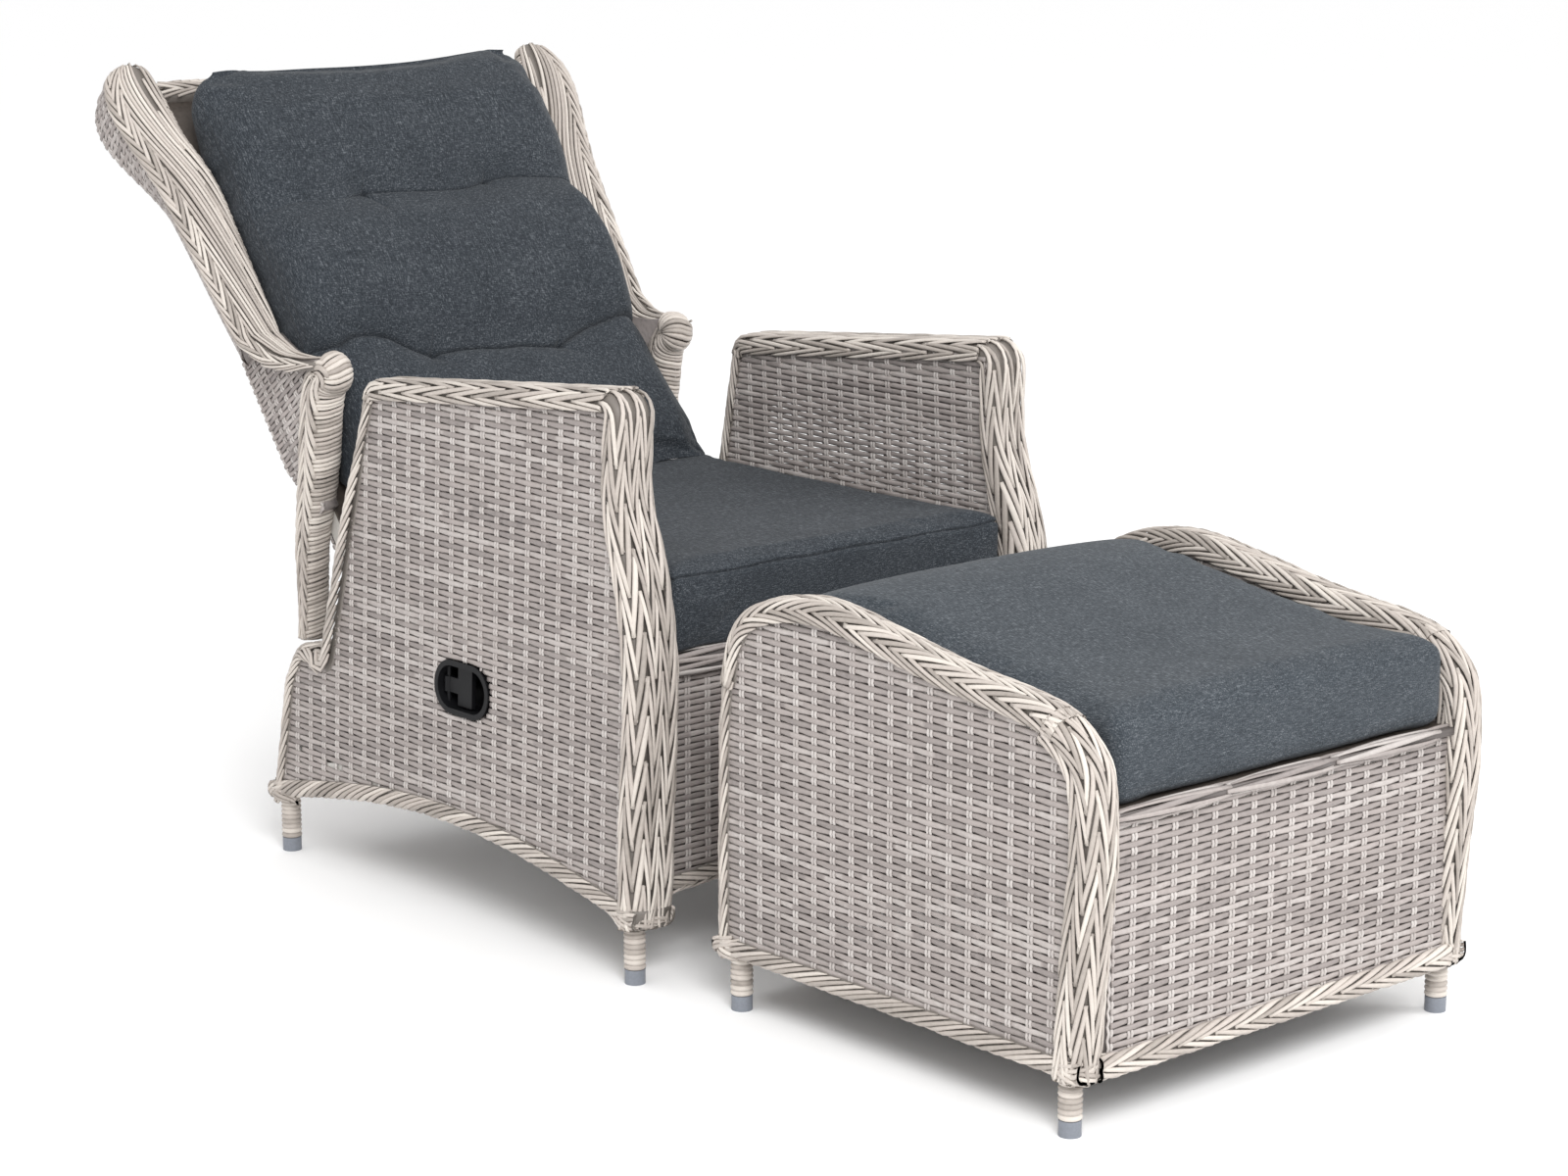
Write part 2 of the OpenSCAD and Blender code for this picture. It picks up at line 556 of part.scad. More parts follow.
// Gas spring from under the seat to the lever of the back
gas_y = -handle_y + 0.12 * tube;
gas_z = seat_tube_z - gas_drop;
tip_y = hinge_y - lever_r * sin(lever_a);
tip_z = hinge_z - lever_r * cos(lever_a);
gas_l = norm([tip_y - gas_y, tip_z - gas_z]);
gas_tilt = atan2(gas_z - tip_z, tip_y - gas_y);
fork_x = 3.3 * gas_pin_r;
fork_t = gas_pin_r;
cable_r = gas_pin_r * 0.7;
module spring_bracket() placed() color(steel) difference() {
    both() upright(fork_x, fork_x + fork_t) {
        translate([gas_y, gas_z]) circle(r = lug_r, $fn = 48);
        translate([gas_y - lug_r, gas_z]) square([2 * lug_r, seat_tube_z - gas_z]);
    }
    bar_x(-half_w, half_w, gas_y, gas_z, gas_pin_r);
}
module spring_base_pin() placed() color(steel) {
    bar_x(-fork_x - 2 * fork_t, fork_x + 2 * fork_t, gas_y, gas_z, gas_pin_r);
    both() bar_x(fork_x + fork_t, fork_x + 2 * fork_t, gas_y, gas_z, gas_pin_r * 1.6);
}

// A child drawn along +Y from the spring's fixed pin
module on_spring() placed() translate([0, gas_y, gas_z]) rotate([-gas_tilt, 0, 0]) children();
module bar_y(y0, y1, r) translate([0, y0, 0]) rotate([-90, 0, 0]) cylinder(r = r, h = y1 - y0, $fn = 48);
head_x = fork_x - seat_gap;
head_l = gas_r * 2;
barrel_start = gas_l * 0.30;
barrel_end = gas_l - gas_r * 2;
bore_end = barrel_end - gas_r;
rod_end = bore_end - gas_r;
module release_head() on_spring() color(black) difference() {
    union() {
        bar_x(-head_x, head_x, 0, 0, gas_pin_r * 2);
        box(-head_x * 0.7, head_x * 0.7, 0, head_l, -gas_pin_r * 1.5, gas_pin_r * 1.5);
    }
    bar_x(-half_w, half_w, 0, 0, gas_pin_r + run_gap);
}
module gas_rod() on_spring() color(steel) bar_y(head_l, rod_end, rod_r);
module gas_cylinder() on_spring() color(black) difference() {
    union() {
        bar_y(barrel_start, barrel_end, gas_r);
        box(-head_x * 0.7, head_x * 0.7, barrel_end - gas_pin_r, gas_l, -gas_pin_r * 1.5, gas_pin_r * 1.5);
        bar_x(-head_x * 0.7, head_x * 0.7, gas_l, 0, gas_pin_r * 2.4);
    }
    bar_y(barrel_start - gas_r, bore_end, rod_r + run_gap);
    bar_x(-half_w, half_w, gas_l, 0, gas_pin_r + open_pivot_gap);
}

// The lever drawn in the backrest's own frame
tip_b = (tip_y - hinge_y) * cos(back_lean) - (tip_z - hinge_z) * sin(back_lean);
tip_a = (tip_y - hinge_y) * sin(back_lean) + (tip_z - hinge_z) * cos(back_lean);
module spring_lever() on_back() color(steel) difference() {
    both() upright(fork_x, fork_x + fork_t) {
        translate([tip_b, tip_a]) circle(r = lug_r * 0.85, $fn = 48);
        polygon([[tip_b - lug_r * 0.85, tip_a], [tip_b + lug_r * 0.85, tip_a],
            [-back_rear - weave_t, back_foot], [-back_front + weave_t, back_foot]]);
    }
    bar_x(-half_w, half_w, tip_b, tip_a, gas_pin_r);
}
module spring_lever_pin() on_back() color(steel) {
    bar_x(-fork_x - 2 * fork_t, fork_x + 2 * fork_t, tip_b, tip_a, gas_pin_r);
    both() bar_x(fork_x + fork_t, fork_x + 2 * fork_t, tip_b, tip_a, gas_pin_r * 1.6);
}

// Release handle: a cup let into the right side, with a paddle on an upright pin
cup_wall = 0.75 * weave_t;
pivot_y = -handle_y + 0.36 * handle_l;
pivot_deep = cup_d * 0.35;
paddle_pin_r = cup_wall;
module paddle_axle(r, h) translate([-pivot_deep, pivot_y, handle_z - h / 2]) cylinder(r = r, h = h, $fn = 32);
module handle_cup() placed() color(black) right_side() difference() {
    union() {
        slab(0, weave_drop) cup_shape(0);
        slab(weave_drop, cup_d) cup_shape(weave_t);
    }
    slab(-cup_wall, cup_d - cup_wall) cup_shape(weave_t + cup_wall);
    paddle_axle(paddle_pin_r, handle_h - 2 * weave_t - cup_wall);
}
module paddle_pin() placed() color(steel) right_side() paddle_axle(paddle_pin_r, axle_l);
axle_l = 2 * sqrt(pow(handle_h / 2 - weave_t - cup_wall / 2, 2) - pow(pivot_y + handle_y - (handle_l - handle_h) / 2, 2));
module release_paddle() placed() color(black) right_side() difference() {
    union() {
        paddle_axle(paddle_pin_r * 2, paddle_h * 0.4);
        slab(pivot_deep - paddle_pin_r, pivot_deep + paddle_pin_r) {
            translate([pivot_y - handle_l * 0.2, handle_z - paddle_h * 0.2]) square([handle_l * 0.2, paddle_h * 0.4]);
            translate([pivot_y - handle_l * 0.2 - paddle_w, handle_z - paddle_h / 2]) square([paddle_w, paddle_h]);
        }
    }
    paddle_axle(paddle_pin_r + run_gap, handle_h);
}
module release_cable() placed() color(black) difference() {
    cable_line(cable_r);
    right_side() slab(-far, cup_d) translate([-far, -far]) square([2 * far, 2 * far]);
}

// Footstool
module stool_sides() both() translate([stool_half_w, 0, 0]) children();
module stool_shape() polygon(stool_outline);
module stool_shifted(y, z) translate([y, z]) stool_shape();
module stool_post_shape() difference() {
    intersection() {
        stool_shape();
        translate([-far, 0]) square([far + stool_mid_y, far]);
    }
    stool_shifted(stool_post_w, 0);
}
stool_post_w = post_w * 1.2;
module stool_rest() intersection() {
    stool_shape();
    stool_shifted(stool_post_w, 0);
}
module stool_top_shape() difference() {
    intersection() {
        stool_rest();
        translate([-far, stool_h * 0.6]) square([2 * far, far]);
    }
    stool_shifted(0, -arm_braid_w);
}
module stool_skirt_shape() difference() {
    intersection() {
        stool_rest();
        translate([-far, 0]) square([2 * far, stool_h * 0.5]);
    }
    stool_shifted(0, skirt_w);
}
module stool_middle() intersection() {
    stool_rest();
    stool_shifted(0, -arm_braid_w);
    stool_shifted(0, skirt_w);
}
module stool_panel_shape() intersection() {
    stool_middle();
    stool_shifted(-rear_braid_w, 0);
}
stool_leg_front = stool_mid_y - stool_depth * 0.470 + stool_post_w - leg_r - weave_t / 2;
module stool_leg_places() for (y = [stool_leg_front, stool_front_y + stool_depth * 0.935])
    translate([stool_half_w - leg_inset * 0.83, y, 0]) children();
module stool_leg_holes() both() stool_leg_places() cylinder(r = leg_r + leg_gap, h = stool_skirt_z + leg_in, $fn = 32);
stool_tube = tube * 0.8;
module stool_frames() placed() color(alu) stool_sides() slab(weave_drop + weave_t, stool_t - weave_t)
    frame_ring(stool_tube) stool_panel_shape();
module stool_outer_weaves() placed() color(greige) stool_sides() slab(weave_drop, weave_drop + weave_t)
    stool_panel_shape();
module stool_inner_weaves() placed() color(greige) stool_sides() slab(stool_t - weave_t, stool_t) stool_panel_shape();
module stool_post_braids() placed() color(cream) difference() {
    stool_sides() slab(0, stool_t) stool_post_shape();
    stool_leg_holes();
}
module stool_top_braids() placed() color(cream) stool_sides() slab(0, stool_t) stool_top_shape();
module stool_rear_braids() placed() color(cream) stool_sides() slab(0, stool_t) difference() {
    stool_middle();
    stool_shifted(-rear_braid_w, 0);
}
stool_panel_y = stool_front_y + stool_panel_in;
stool_rear_y = stool_front_y + stool_depth * 0.965;
stool_deck_z = stool_panel_z - deck_t;
module stool_skirt_braids() placed() color(cream) {
    difference() {
        stool_sides() slab(0, stool_t) stool_skirt_shape();
        stool_leg_holes();
    }
    for (y = [stool_panel_y, stool_rear_y])
        box(-stool_inner_x, stool_inner_x, y - weave_t, y + 2 * weave_t, stool_skirt_z, stool_skirt_z + skirt_w);
}
module stool_front_weave() placed() color(greige) box(-stool_inner_x, stool_inner_x, stool_panel_y,
    stool_panel_y + weave_t, stool_skirt_z + skirt_w, stool_panel_z - stool_rim_t);
module stool_front_rim() placed() color(cream) box(-stool_inner_x, stool_inner_x, stool_panel_y - stool_rim_t,
    stool_panel_y + weave_t, stool_panel_z - stool_rim_t, stool_panel_z);
module stool_rear_weave() placed() color(greige) box(-stool_inner_x, stool_inner_x, stool_rear_y,
    stool_rear_y + weave_t, stool_skirt_z + skirt_w, stool_panel_z);
module stool_cross_tubes() placed() color(alu)
    for (y = [stool_panel_y + weave_t, stool_mid_y, stool_rear_y - stool_tube])
        box(-stool_inner_x, stool_inner_x, y, y + stool_tube, stool_deck_z - stool_tube, stool_deck_z);
module stool_deck() placed() color(greige) box(-stool_inner_x, stool_inner_x, stool_panel_y + weave_t, stool_rear_y,
    stool_deck_z, stool_panel_z);
stool_pad_half = stool_inner_x - pad_gap;
stool_pad_z = stool_panel_z + seat_gap;
module stool_cushion() placed() color(slate) loft([for (row = stool_pad_shares)
    [for (p = section([row[0], row[1], row[2], (row[3] * stool_h - stool_pad_z) / stool_h], [], 0))
        [p[0] * stool_pad_half, stool_front_y + row[0] * stool_depth, stool_pad_z + p[1] * stool_h]]]);
module stool_legs() placed() color(cream) both() stool_leg_places()
    translate([0, 0, cap_h]) cylinder(r = leg_r, h = stool_skirt_z + leg_in - cap_h, $fn = 32);
module stool_foot_caps() placed() color(grey) both() stool_leg_places() cylinder(r = leg_r, h = cap_h, $fn = 32);

arm_frames();
outer_weave_right();
outer_weave_left();
inner_weaves();
front_post_braids();
arm_top_braids();
arm_rear_braids();
skirt_braids();
front_apron();
apron_rim_braid();
apron_skirt_braids();
rear_weave();
seat_rails();
seat_cross_tubes();
hinge_tube();
seat_deck();
seat_cushion();
chair_legs();
chair_foot_caps();
hinge_brackets();
hinge_pins();
spring_bracket();
spring_base_pin();
handle_cup();
paddle_pin();
release_cable();
back_side_tubes();
back_cross_tubes();
hinge_lugs();
spring_lever();
spring_lever_pin();
back_front_weave();
back_rear_weave();
back_top_braid();
wing_bands();
wing_shells();
wing_posts();
cheek_weaves();
back_cushion();
gas_rod();
release_head();
gas_cylinder();
release_paddle();
stool_frames();
stool_cross_tubes();
stool_outer_weaves();
stool_inner_weaves();
stool_post_braids();
stool_top_braids();
stool_rear_braids();
stool_skirt_braids();
stool_front_weave();
stool_front_rim();
stool_rear_weave();
stool_deck();
stool_cushion();
stool_legs();
stool_foot_caps();
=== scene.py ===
# Reclining wicker wing chair with its footstool: weaves, plaits and cushions over the CAD frame.
# Shapes are worked out in millimetres in the part's own layout and placed in metres at the end.
import json
import math

import bmesh
import bpy
import mathutils
import numpy as np
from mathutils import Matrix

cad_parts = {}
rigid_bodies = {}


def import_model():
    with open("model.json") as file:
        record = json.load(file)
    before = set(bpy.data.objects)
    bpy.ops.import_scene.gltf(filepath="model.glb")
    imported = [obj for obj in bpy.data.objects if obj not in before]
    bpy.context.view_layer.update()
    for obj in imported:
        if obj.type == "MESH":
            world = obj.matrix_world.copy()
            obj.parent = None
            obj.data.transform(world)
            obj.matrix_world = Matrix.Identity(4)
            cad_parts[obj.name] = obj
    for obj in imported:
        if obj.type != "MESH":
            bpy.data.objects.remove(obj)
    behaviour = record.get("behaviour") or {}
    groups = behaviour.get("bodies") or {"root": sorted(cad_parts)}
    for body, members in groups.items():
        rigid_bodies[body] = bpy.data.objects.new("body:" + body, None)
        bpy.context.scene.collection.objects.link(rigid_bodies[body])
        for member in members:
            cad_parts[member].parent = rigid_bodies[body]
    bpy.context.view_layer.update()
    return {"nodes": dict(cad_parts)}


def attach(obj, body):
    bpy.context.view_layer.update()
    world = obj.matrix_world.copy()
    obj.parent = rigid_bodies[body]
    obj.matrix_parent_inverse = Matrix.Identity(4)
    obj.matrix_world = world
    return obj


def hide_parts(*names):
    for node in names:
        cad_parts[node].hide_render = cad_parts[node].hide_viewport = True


for thing in list(bpy.data.objects):
    bpy.data.objects.remove(thing)
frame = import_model()
scene = bpy.context.scene

# Sizes shared with the CAD, in millimetres
SHIFT = 166.962  # from the part's own y to the row's
HALF_W, SIDE_DEPTH, ARM_H, ARM_T, LEAN = 355.0, 764.0, 705.0, 58.0, math.radians(2.1)
FRONT_Y, REAR_Y, SKIRT_Z, ARCH = -387.348, 379.708, 74.0, 50.0
TOP_W, REAR_W, SKIRT_W = 22.0, 17.0, 20.0
HINGE_Y, HINGE_Z, RECLINE = 300.0, 255.0, math.radians(37.0)
BACK_L, BACK_W = 850.0, 540.0
STOOL_HALF, STOOL_T, STOOL_MID, STOOL_DEPTH, STOOL_H = 317.0, 40.0, -792.348, 612.0, 507.0
STOOL_FRONT = STOOL_MID - STOOL_DEPTH / 2
STOOL_SKIRT = 66.0
CUP_Y, CUP_Z, CUP_L, CUP_H = -43.0, 298.0, 112.0, 68.0


# Placing
def chair_side(sign):
    """A point by depth along the floor, height up the leaning side, and depth below its outer face."""
    def place(y, z, d):
        x = HALF_W - d * math.cos(LEAN) - (z - SKIRT_Z) * math.sin(LEAN)
        return np.stack([sign * x, y, SKIRT_Z - d * math.sin(LEAN) + (z - SKIRT_Z) * math.cos(LEAN)], -1)
    return place


def stool_side(sign):
    def place(y, z, d):
        return np.stack([sign * (STOOL_HALF - d), y, z], -1)
    return place


def on_back(x, ahead, up):
    """A point by width, distance ahead of the hinge line and height up the reclined back."""
    y = HINGE_Y + up * math.sin(RECLINE) - ahead * math.cos(RECLINE)
    z = HINGE_Z + up * math.cos(RECLINE) + ahead * math.sin(RECLINE)
    return np.stack([x, y, z], -1)


def to_row(points):
    out = np.array(points, dtype=np.float64)
    out[:, 1] += SHIFT
    return out * 0.001


def spline(pts, steps=6):
    pts = np.array(pts, dtype=float)
    out = []
    for i in range(len(pts) - 1):
        a, b, c, d = pts[max(i - 1, 0)], pts[i], pts[i + 1], pts[min(i + 2, len(pts) - 1)]
        for k in range(steps + (i == len(pts) - 2)):
            t = k / steps
            out.append(0.5 * (2 * b + (c - a) * t + (2 * a - 5 * b + 4 * c - d) * t * t
                              + (3 * b - a - 3 * c + d) * t ** 3))
    return out


def rounded_corner(p0, p1, p2, r, steps=8):
    p0, p1, p2 = (np.array(p, dtype=float) for p in (p0, p1, p2))
    d1, d2 = (p0 - p1) / np.linalg.norm(p0 - p1), (p2 - p1) / np.linalg.norm(p2 - p1)
    half = math.acos(max(-1, min(1, float(d1 @ d2)))) / 2
    centre = p1 + (d1 + d2) / np.linalg.norm(d1 + d2) * r / math.sin(half)
    s, e = p1 + d1 * r / math.tan(half) - centre, p1 + d2 * r / math.tan(half) - centre
    a0, a1 = math.atan2(s[1], s[0]), math.atan2(e[1], e[0])
    turn = (a1 - a0 + math.pi) % (2 * math.pi) - math.pi
    return [centre + r * np.array([math.cos(a0 + turn * k / steps), math.sin(a0 + turn * k / steps)])
            for k in range(steps + 1)]


def rounded_path(pts):
    """An open path whose inner points hold a corner radius as their third value."""
    out = [np.array(pts[0][:2], dtype=float)]
    for a, p, b in zip(pts, pts[1:], pts[2:]):
        out += rounded_corner(a[:2], p[:2], b[:2], p[2]) if p[2] > 0 else [np.array(p[:2], dtype=float)]
    return out + [np.array(pts[-1][:2], dtype=float)]


class Path:
    """An open path in a plane, with the direction into the panel on its left or right."""

    def __init__(self, pts, side=1, step=3.0):
        pts = np.array(pts, dtype=float)
        keep = np.concatenate([[True], np.linalg.norm(np.diff(pts, axis=0), axis=1) > 1e-6])
        pts = pts[keep]
        run = np.concatenate([[0], np.cumsum(np.linalg.norm(np.diff(pts, axis=0), axis=1))])
        self.length = run[-1]
        self.s = np.linspace(0, self.length, max(int(self.length / step), 8) + 1)
        self.p = np.stack([np.interp(self.s, run, pts[:, 0]), np.interp(self.s, run, pts[:, 1])], -1)
        t = np.gradient(self.p, axis=0)
        for _ in range(4):
            t[1:-1] = (t[:-2] + 2 * t[1:-1] + t[2:]) / 4
        t /= np.linalg.norm(t, axis=1)[:, None]
        self.t = t
        self.n = np.stack([-t[:, 1], t[:, 0]], -1) * side

    def at(self, s):
        """Points and inward directions, carried straight on past either end."""
        c = np.clip(s, 0, self.length)
        p, n, t = (np.stack([np.interp(c, self.s, line[:, i]) for i in (0, 1)], -1)
                   for line in (self.p, self.n, self.t))
        n /= np.linalg.norm(n, axis=1)[:, None]
        return p + t * (s - c)[:, None], n


class Section:
    """The cross-section of a border that wraps an edge: distance in from the edge, and depth."""

    def __init__(self, width, thick, radius=13.0):
        k = np.linspace(0, math.pi / 2, 9)
        r = radius
        u = np.concatenate([[width], r - r * np.sin(k), r - r * np.cos(k), [width]])
        d = np.concatenate([[0], r - r * np.cos(k), thick - r + r * np.sin(k), [thick]])
        nu = np.concatenate([[0], -np.sin(k), -np.cos(k), [0]])
        nd = np.concatenate([[-1], -np.cos(k), np.sin(k), [1]])
        run = np.concatenate([[0], np.cumsum(np.hypot(np.diff(u), np.diff(d)))])
        self.half = run[-1] / 2
        self.t, self.rows = run - self.half, np.stack([u, d, nu, nd])

    def at(self, t):
        """t is 0 on the middle of the edge, above 0 towards the outer face."""
        u, d, nu, nd = (np.interp(-t, self.t, row) for row in self.rows)
        size = np.hypot(nu, nd)
        return u, d, nu / size, nd / size


# Node trees
class Nodes:
    """Adds and links the nodes of one tree, geometry or material."""

    def __init__(self, tree):
        self.tree = tree

    def add(self, kind, inputs=None, **facts):
        node = self.tree.nodes.new(kind)
        for key, value in facts.items():
            setattr(node, key, value)
        for key, value in (inputs or {}).items():
            if isinstance(value, bpy.types.NodeSocket):
                self.tree.links.new(value, node.inputs[key])
            else:
                node.inputs[key].default_value = value
        return node

    def get(self, kind, inputs=None, **facts):
        """The first output of a new geometry node."""
        return self.add("GeometryNode" + kind, inputs, **facts).outputs[0]

    def sum(self, operation, *values):
        return self.add("ShaderNodeMath", dict(enumerate(values)), operation=operation).outputs[0]

    def vector(self, x, y, z):
        return self.add("ShaderNodeCombineXYZ", {"X": x, "Y": y, "Z": z}).outputs[0]

    def part(self, vector, axis):
        return self.add("ShaderNodeSeparateXYZ", {0: vector}).outputs[axis]

    def random(self, low, high, number, seed):
        """A random number or vector between two bounds, its own for each number given."""
        is_vector = isinstance(low, tuple)
        least, most, out = (0, 1, 0) if is_vector else (2, 3, 1)
        return self.add("FunctionNodeRandomValue", {least: low, most: high, "ID": number, "Seed": seed},
                        data_type="FLOAT_VECTOR" if is_vector else "FLOAT").outputs[out]


def new_tree(name, sizes, **others):
    """A geometry tree with named inputs: its sizes are plain numbers, the others of a kind of their own."""
    tree = bpy.data.node_groups.new(name, "GeometryNodeTree")
    kinds = {"Geometry": "Geometry", **dict.fromkeys(sizes, "Float"), **others}
    for label, kind in kinds.items():
        tree.interface.new_socket(label, in_out="INPUT", socket_type="NodeSocket" + kind)
    tree.interface.new_socket("Geometry", in_out="OUTPUT", socket_type="NodeSocketGeometry")
    return Nodes(tree), tree.nodes.new("NodeGroupInput").outputs


def close_tree(n, geometry, finish):
    """Ends a tree: its instances become a mesh with the finish."""
    whole = n.get("RealizeInstances", {"Geometry": geometry})
    whole = n.get("SetMaterial", {"Geometry": whole, "Material": finish})
    n.tree.links.new(whole, n.tree.nodes.new("NodeGroupOutput").inputs["Geometry"])
    return n.tree


def curve_of(n, mesh):
    return n.get("SetCurveNormal", {"Curve": n.get("MeshToCurve", {"Mesh": mesh})}, mode="Z_UP")


def strand_along(n, curve, width, thick, sides=6):
    """A wicker strand with a flat oval profile."""
    circle = n.get("CurvePrimitiveCircle", {"Resolution": sides, "Radius": 0.5})
    oval = n.get("Transform", {"Geometry": circle, "Scale": n.vector(width, thick, 1.0)})
    return n.get("CurveToMesh", {"Curve": curve, "Fill Caps": True, "Profile Curve": oval})


def with_tone(n, geometry, tone, domain):
    """Stores the shade of each strand, which its material reads."""
    return n.get("StoreNamedAttribute", {"Geometry": geometry, "Name": "tone", "Value": tone},
                 data_type="FLOAT", domain=domain)


def plait_tree():
    """One column of a plait: leaf-shaped strands set at a slant, each dipping under the next at its ends."""
    n, size = new_tree(
        "plait column", ["Length", "Pitch", "Column width", "Leaf length", "Strand width", "Strand thickness",
                         "Rise", "Dip", "Slant"], Steps="Int", Seed="Int", Material="Material")
    count = n.sum("MAXIMUM", n.sum("ROUND", n.sum("DIVIDE", size["Length"], size["Pitch"])), 1.0)
    part = n.sum("DIVIDE", 1.0, n.sum("SUBTRACT", size["Steps"], 1.0))
    line = n.get("MeshLine", {"Count": size["Steps"], "Offset": n.vector(part, 0.0, 0.0)})
    place = n.part(n.get("InputPosition"), "X")
    arc = n.sum("POWER", n.sum("SINE", n.sum("MULTIPLY", place, math.pi)), 0.75)
    reach = n.sum("MULTIPLY", size["Leaf length"], size["Slant"])
    x = n.sum("MULTIPLY", n.sum("SUBTRACT", place, 0.5), reach)
    y = n.sum("MULTIPLY", n.sum("SUBTRACT", n.sum("MULTIPLY", place, 1.14), 0.07), size["Column width"])
    z = n.sum("SUBTRACT", n.sum("MULTIPLY", arc, n.sum("ADD", size["Rise"], size["Dip"])), size["Dip"])
    leaf = curve_of(n, n.get("SetPosition", {"Geometry": line, "Position": n.vector(x, y, z)}))
    leaf = strand_along(n, leaf, size["Strand width"], size["Strand thickness"])
    spots = n.get("MeshLine", {"Count": count, "Offset": n.vector(size["Pitch"], 0.0, 0.0)})
    index = n.get("InputIndex")
    play = n.random((-0.9, -0.5, -0.45), (0.9, 0.5, 0.45), index, size["Seed"])
    spots = n.get("SetPosition", {"Geometry": spots, "Offset": play})
    plump = n.random(0.92, 1.08, index, n.sum("ADD", size["Seed"], 7.0))
    tone = n.random(0.0, 1.0, index, n.sum("ADD", size["Seed"], 3.0))
    leaves = n.get("InstanceOnPoints", {"Points": spots, "Instance": leaf,
                                        "Scale": n.vector(plump, 1.0, plump)})
    return close_tree(n, with_tone(n, leaves, tone, "INSTANCE"), size["Material"])


def weave_tree():
    """A woven panel: flat weavers that pass over and under paired stakes, trimmed to an outline."""
    n, size = new_tree(
        "woven panel", ["Left", "Bottom", "Width", "Height", "Row pitch", "Weaver width", "Stake pitch",
                        "Stake spread", "Stake width", "Thickness", "Rise", "Margin"],
        Outline="Object", Opening="Object", Seed="Int", Material="Material")
    left, bottom, row, stake = (size[label] for label in ("Left", "Bottom", "Row pitch", "Stake pitch"))

    def count(length, pitch):
        return n.sum("ADD", n.sum("FLOOR", n.sum("DIVIDE", length, pitch)), 1.0)

    rows, stakes = count(size["Height"], row), count(size["Width"], stake)
    step = n.sum("DIVIDE", stake, 6.0)
    bends = count(size["Width"], step)
    tall = n.sum("MULTIPLY", n.sum("SUBTRACT", rows, 1.0), row)

    def grid(columns, pitch, lines, drop_axis):
        """Lines of points; the edges that run along drop_axis are left out."""
        wide = n.sum("MULTIPLY", n.sum("SUBTRACT", columns, 1.0), pitch)
        mesh = n.get("MeshGrid", {"Size X": wide, "Size Y": tall, "Vertices X": columns, "Vertices Y": lines})
        ends = n.add("GeometryNodeInputMeshEdgeVertices").outputs
        gap = n.add("ShaderNodeVectorMath", {0: ends["Position 1"], 1: ends["Position 2"]},
                    operation="SUBTRACT").outputs[0]
        gap = n.sum("ABSOLUTE", n.part(gap, drop_axis))
        mesh = n.get("DeleteGeometry", {"Geometry": mesh, "Selection": n.sum("GREATER_THAN", gap, 0.01)},
                     domain="EDGE", mode="EDGE_FACE")
        middle = [n.sum("ADD", low, n.sum("MULTIPLY", span, 0.5))
                  for low, span in ((left, wide), (bottom, tall))]
        return n.get("Transform", {"Geometry": mesh, "Translation": n.vector(*middle, 0.0)})

    def places():
        """The stake and row that a point lies at, counted from the lower left corner."""
        spot = n.get("InputPosition")
        return [n.sum("DIVIDE", n.sum("SUBTRACT", n.part(spot, axis), low), pitch)
                for axis, low, pitch in (("X", left, stake), ("Y", bottom, row))]

    def lifted(mesh, sign):
        across, up = places()
        wave = n.sum("COSINE", n.sum("MULTIPLY", n.sum("ADD", across, up), math.pi))
        z = n.sum("MULTIPLY", n.sum("MULTIPLY", wave, size["Rise"]), sign)
        return n.get("SetPosition", {"Geometry": mesh, "Offset": n.vector(0.0, 0.0, z)})

    def trimmed(mesh):
        flat = n.add("ShaderNodeVectorMath", {0: n.get("InputPosition"), 1: (1.0, 1.0, 0.0)},
                     operation="MULTIPLY").outputs[0]

        def far(label, kind):
            target = n.add("GeometryNodeObjectInfo", {"Object": size[label]}).outputs["Geometry"]
            return n.add("GeometryNodeProximity", {0: target, "Sample Position": flat},
                         target_element=kind).outputs["Distance"]
        cut = n.sum("MAXIMUM", n.sum("GREATER_THAN", far("Outline", "FACES"), 0.02),
                    n.sum("LESS_THAN", far("Outline", "EDGES"), size["Margin"]))
        cut = n.sum("MAXIMUM", cut, n.sum("LESS_THAN", far("Opening", "FACES"), 0.02))
        return n.get("DeleteGeometry", {"Geometry": mesh, "Selection": cut}, domain="POINT")

    def strands(mesh, width, along, low, high):
        curve = curve_of(n, trimmed(mesh))
        across, up = places()
        piece = n.sum("ADD", n.sum("MULTIPLY", n.sum("ROUND", up if along == "rows" else across), 61.0),
                      n.sum("FLOOR", n.sum("MULTIPLY", n.sum("ADD", across, up), 0.23)))
        curve = with_tone(n, curve, n.random(low, high, piece, size["Seed"]), "POINT")
        return strand_along(n, curve, width, size["Thickness"])

    lines = n.sum("SUBTRACT", n.sum("MULTIPLY", rows, 2.0), 1.0)
    weavers = lifted(grid(bends, step, rows, "Y"), 1.0)
    upright = lifted(grid(stakes, stake, lines, "X"), -1.0)
    every = [strands(weavers, size["Weaver width"], "rows", 0.0, 0.72)]
    for way in (-1.0, 1.0):
        slide = n.vector(n.sum("MULTIPLY", size["Stake spread"], way), 0.0, 0.0)
        beside = n.get("Transform", {"Geometry": upright, "Translation": slide})
        every.append(strands(beside, size["Stake width"], "stakes", 0.66, 0.92))
    joined = n.add("GeometryNodeJoinGeometry")
    for strand in every:
        n.tree.links.new(strand, joined.inputs[0])
    return close_tree(n, joined.outputs[0], size["Material"])


# Meshes as arrays
def linked(name, data):
    """A new object in the scene."""
    thing = bpy.data.objects.new(name, data)
    scene.collection.objects.link(thing)
    return thing


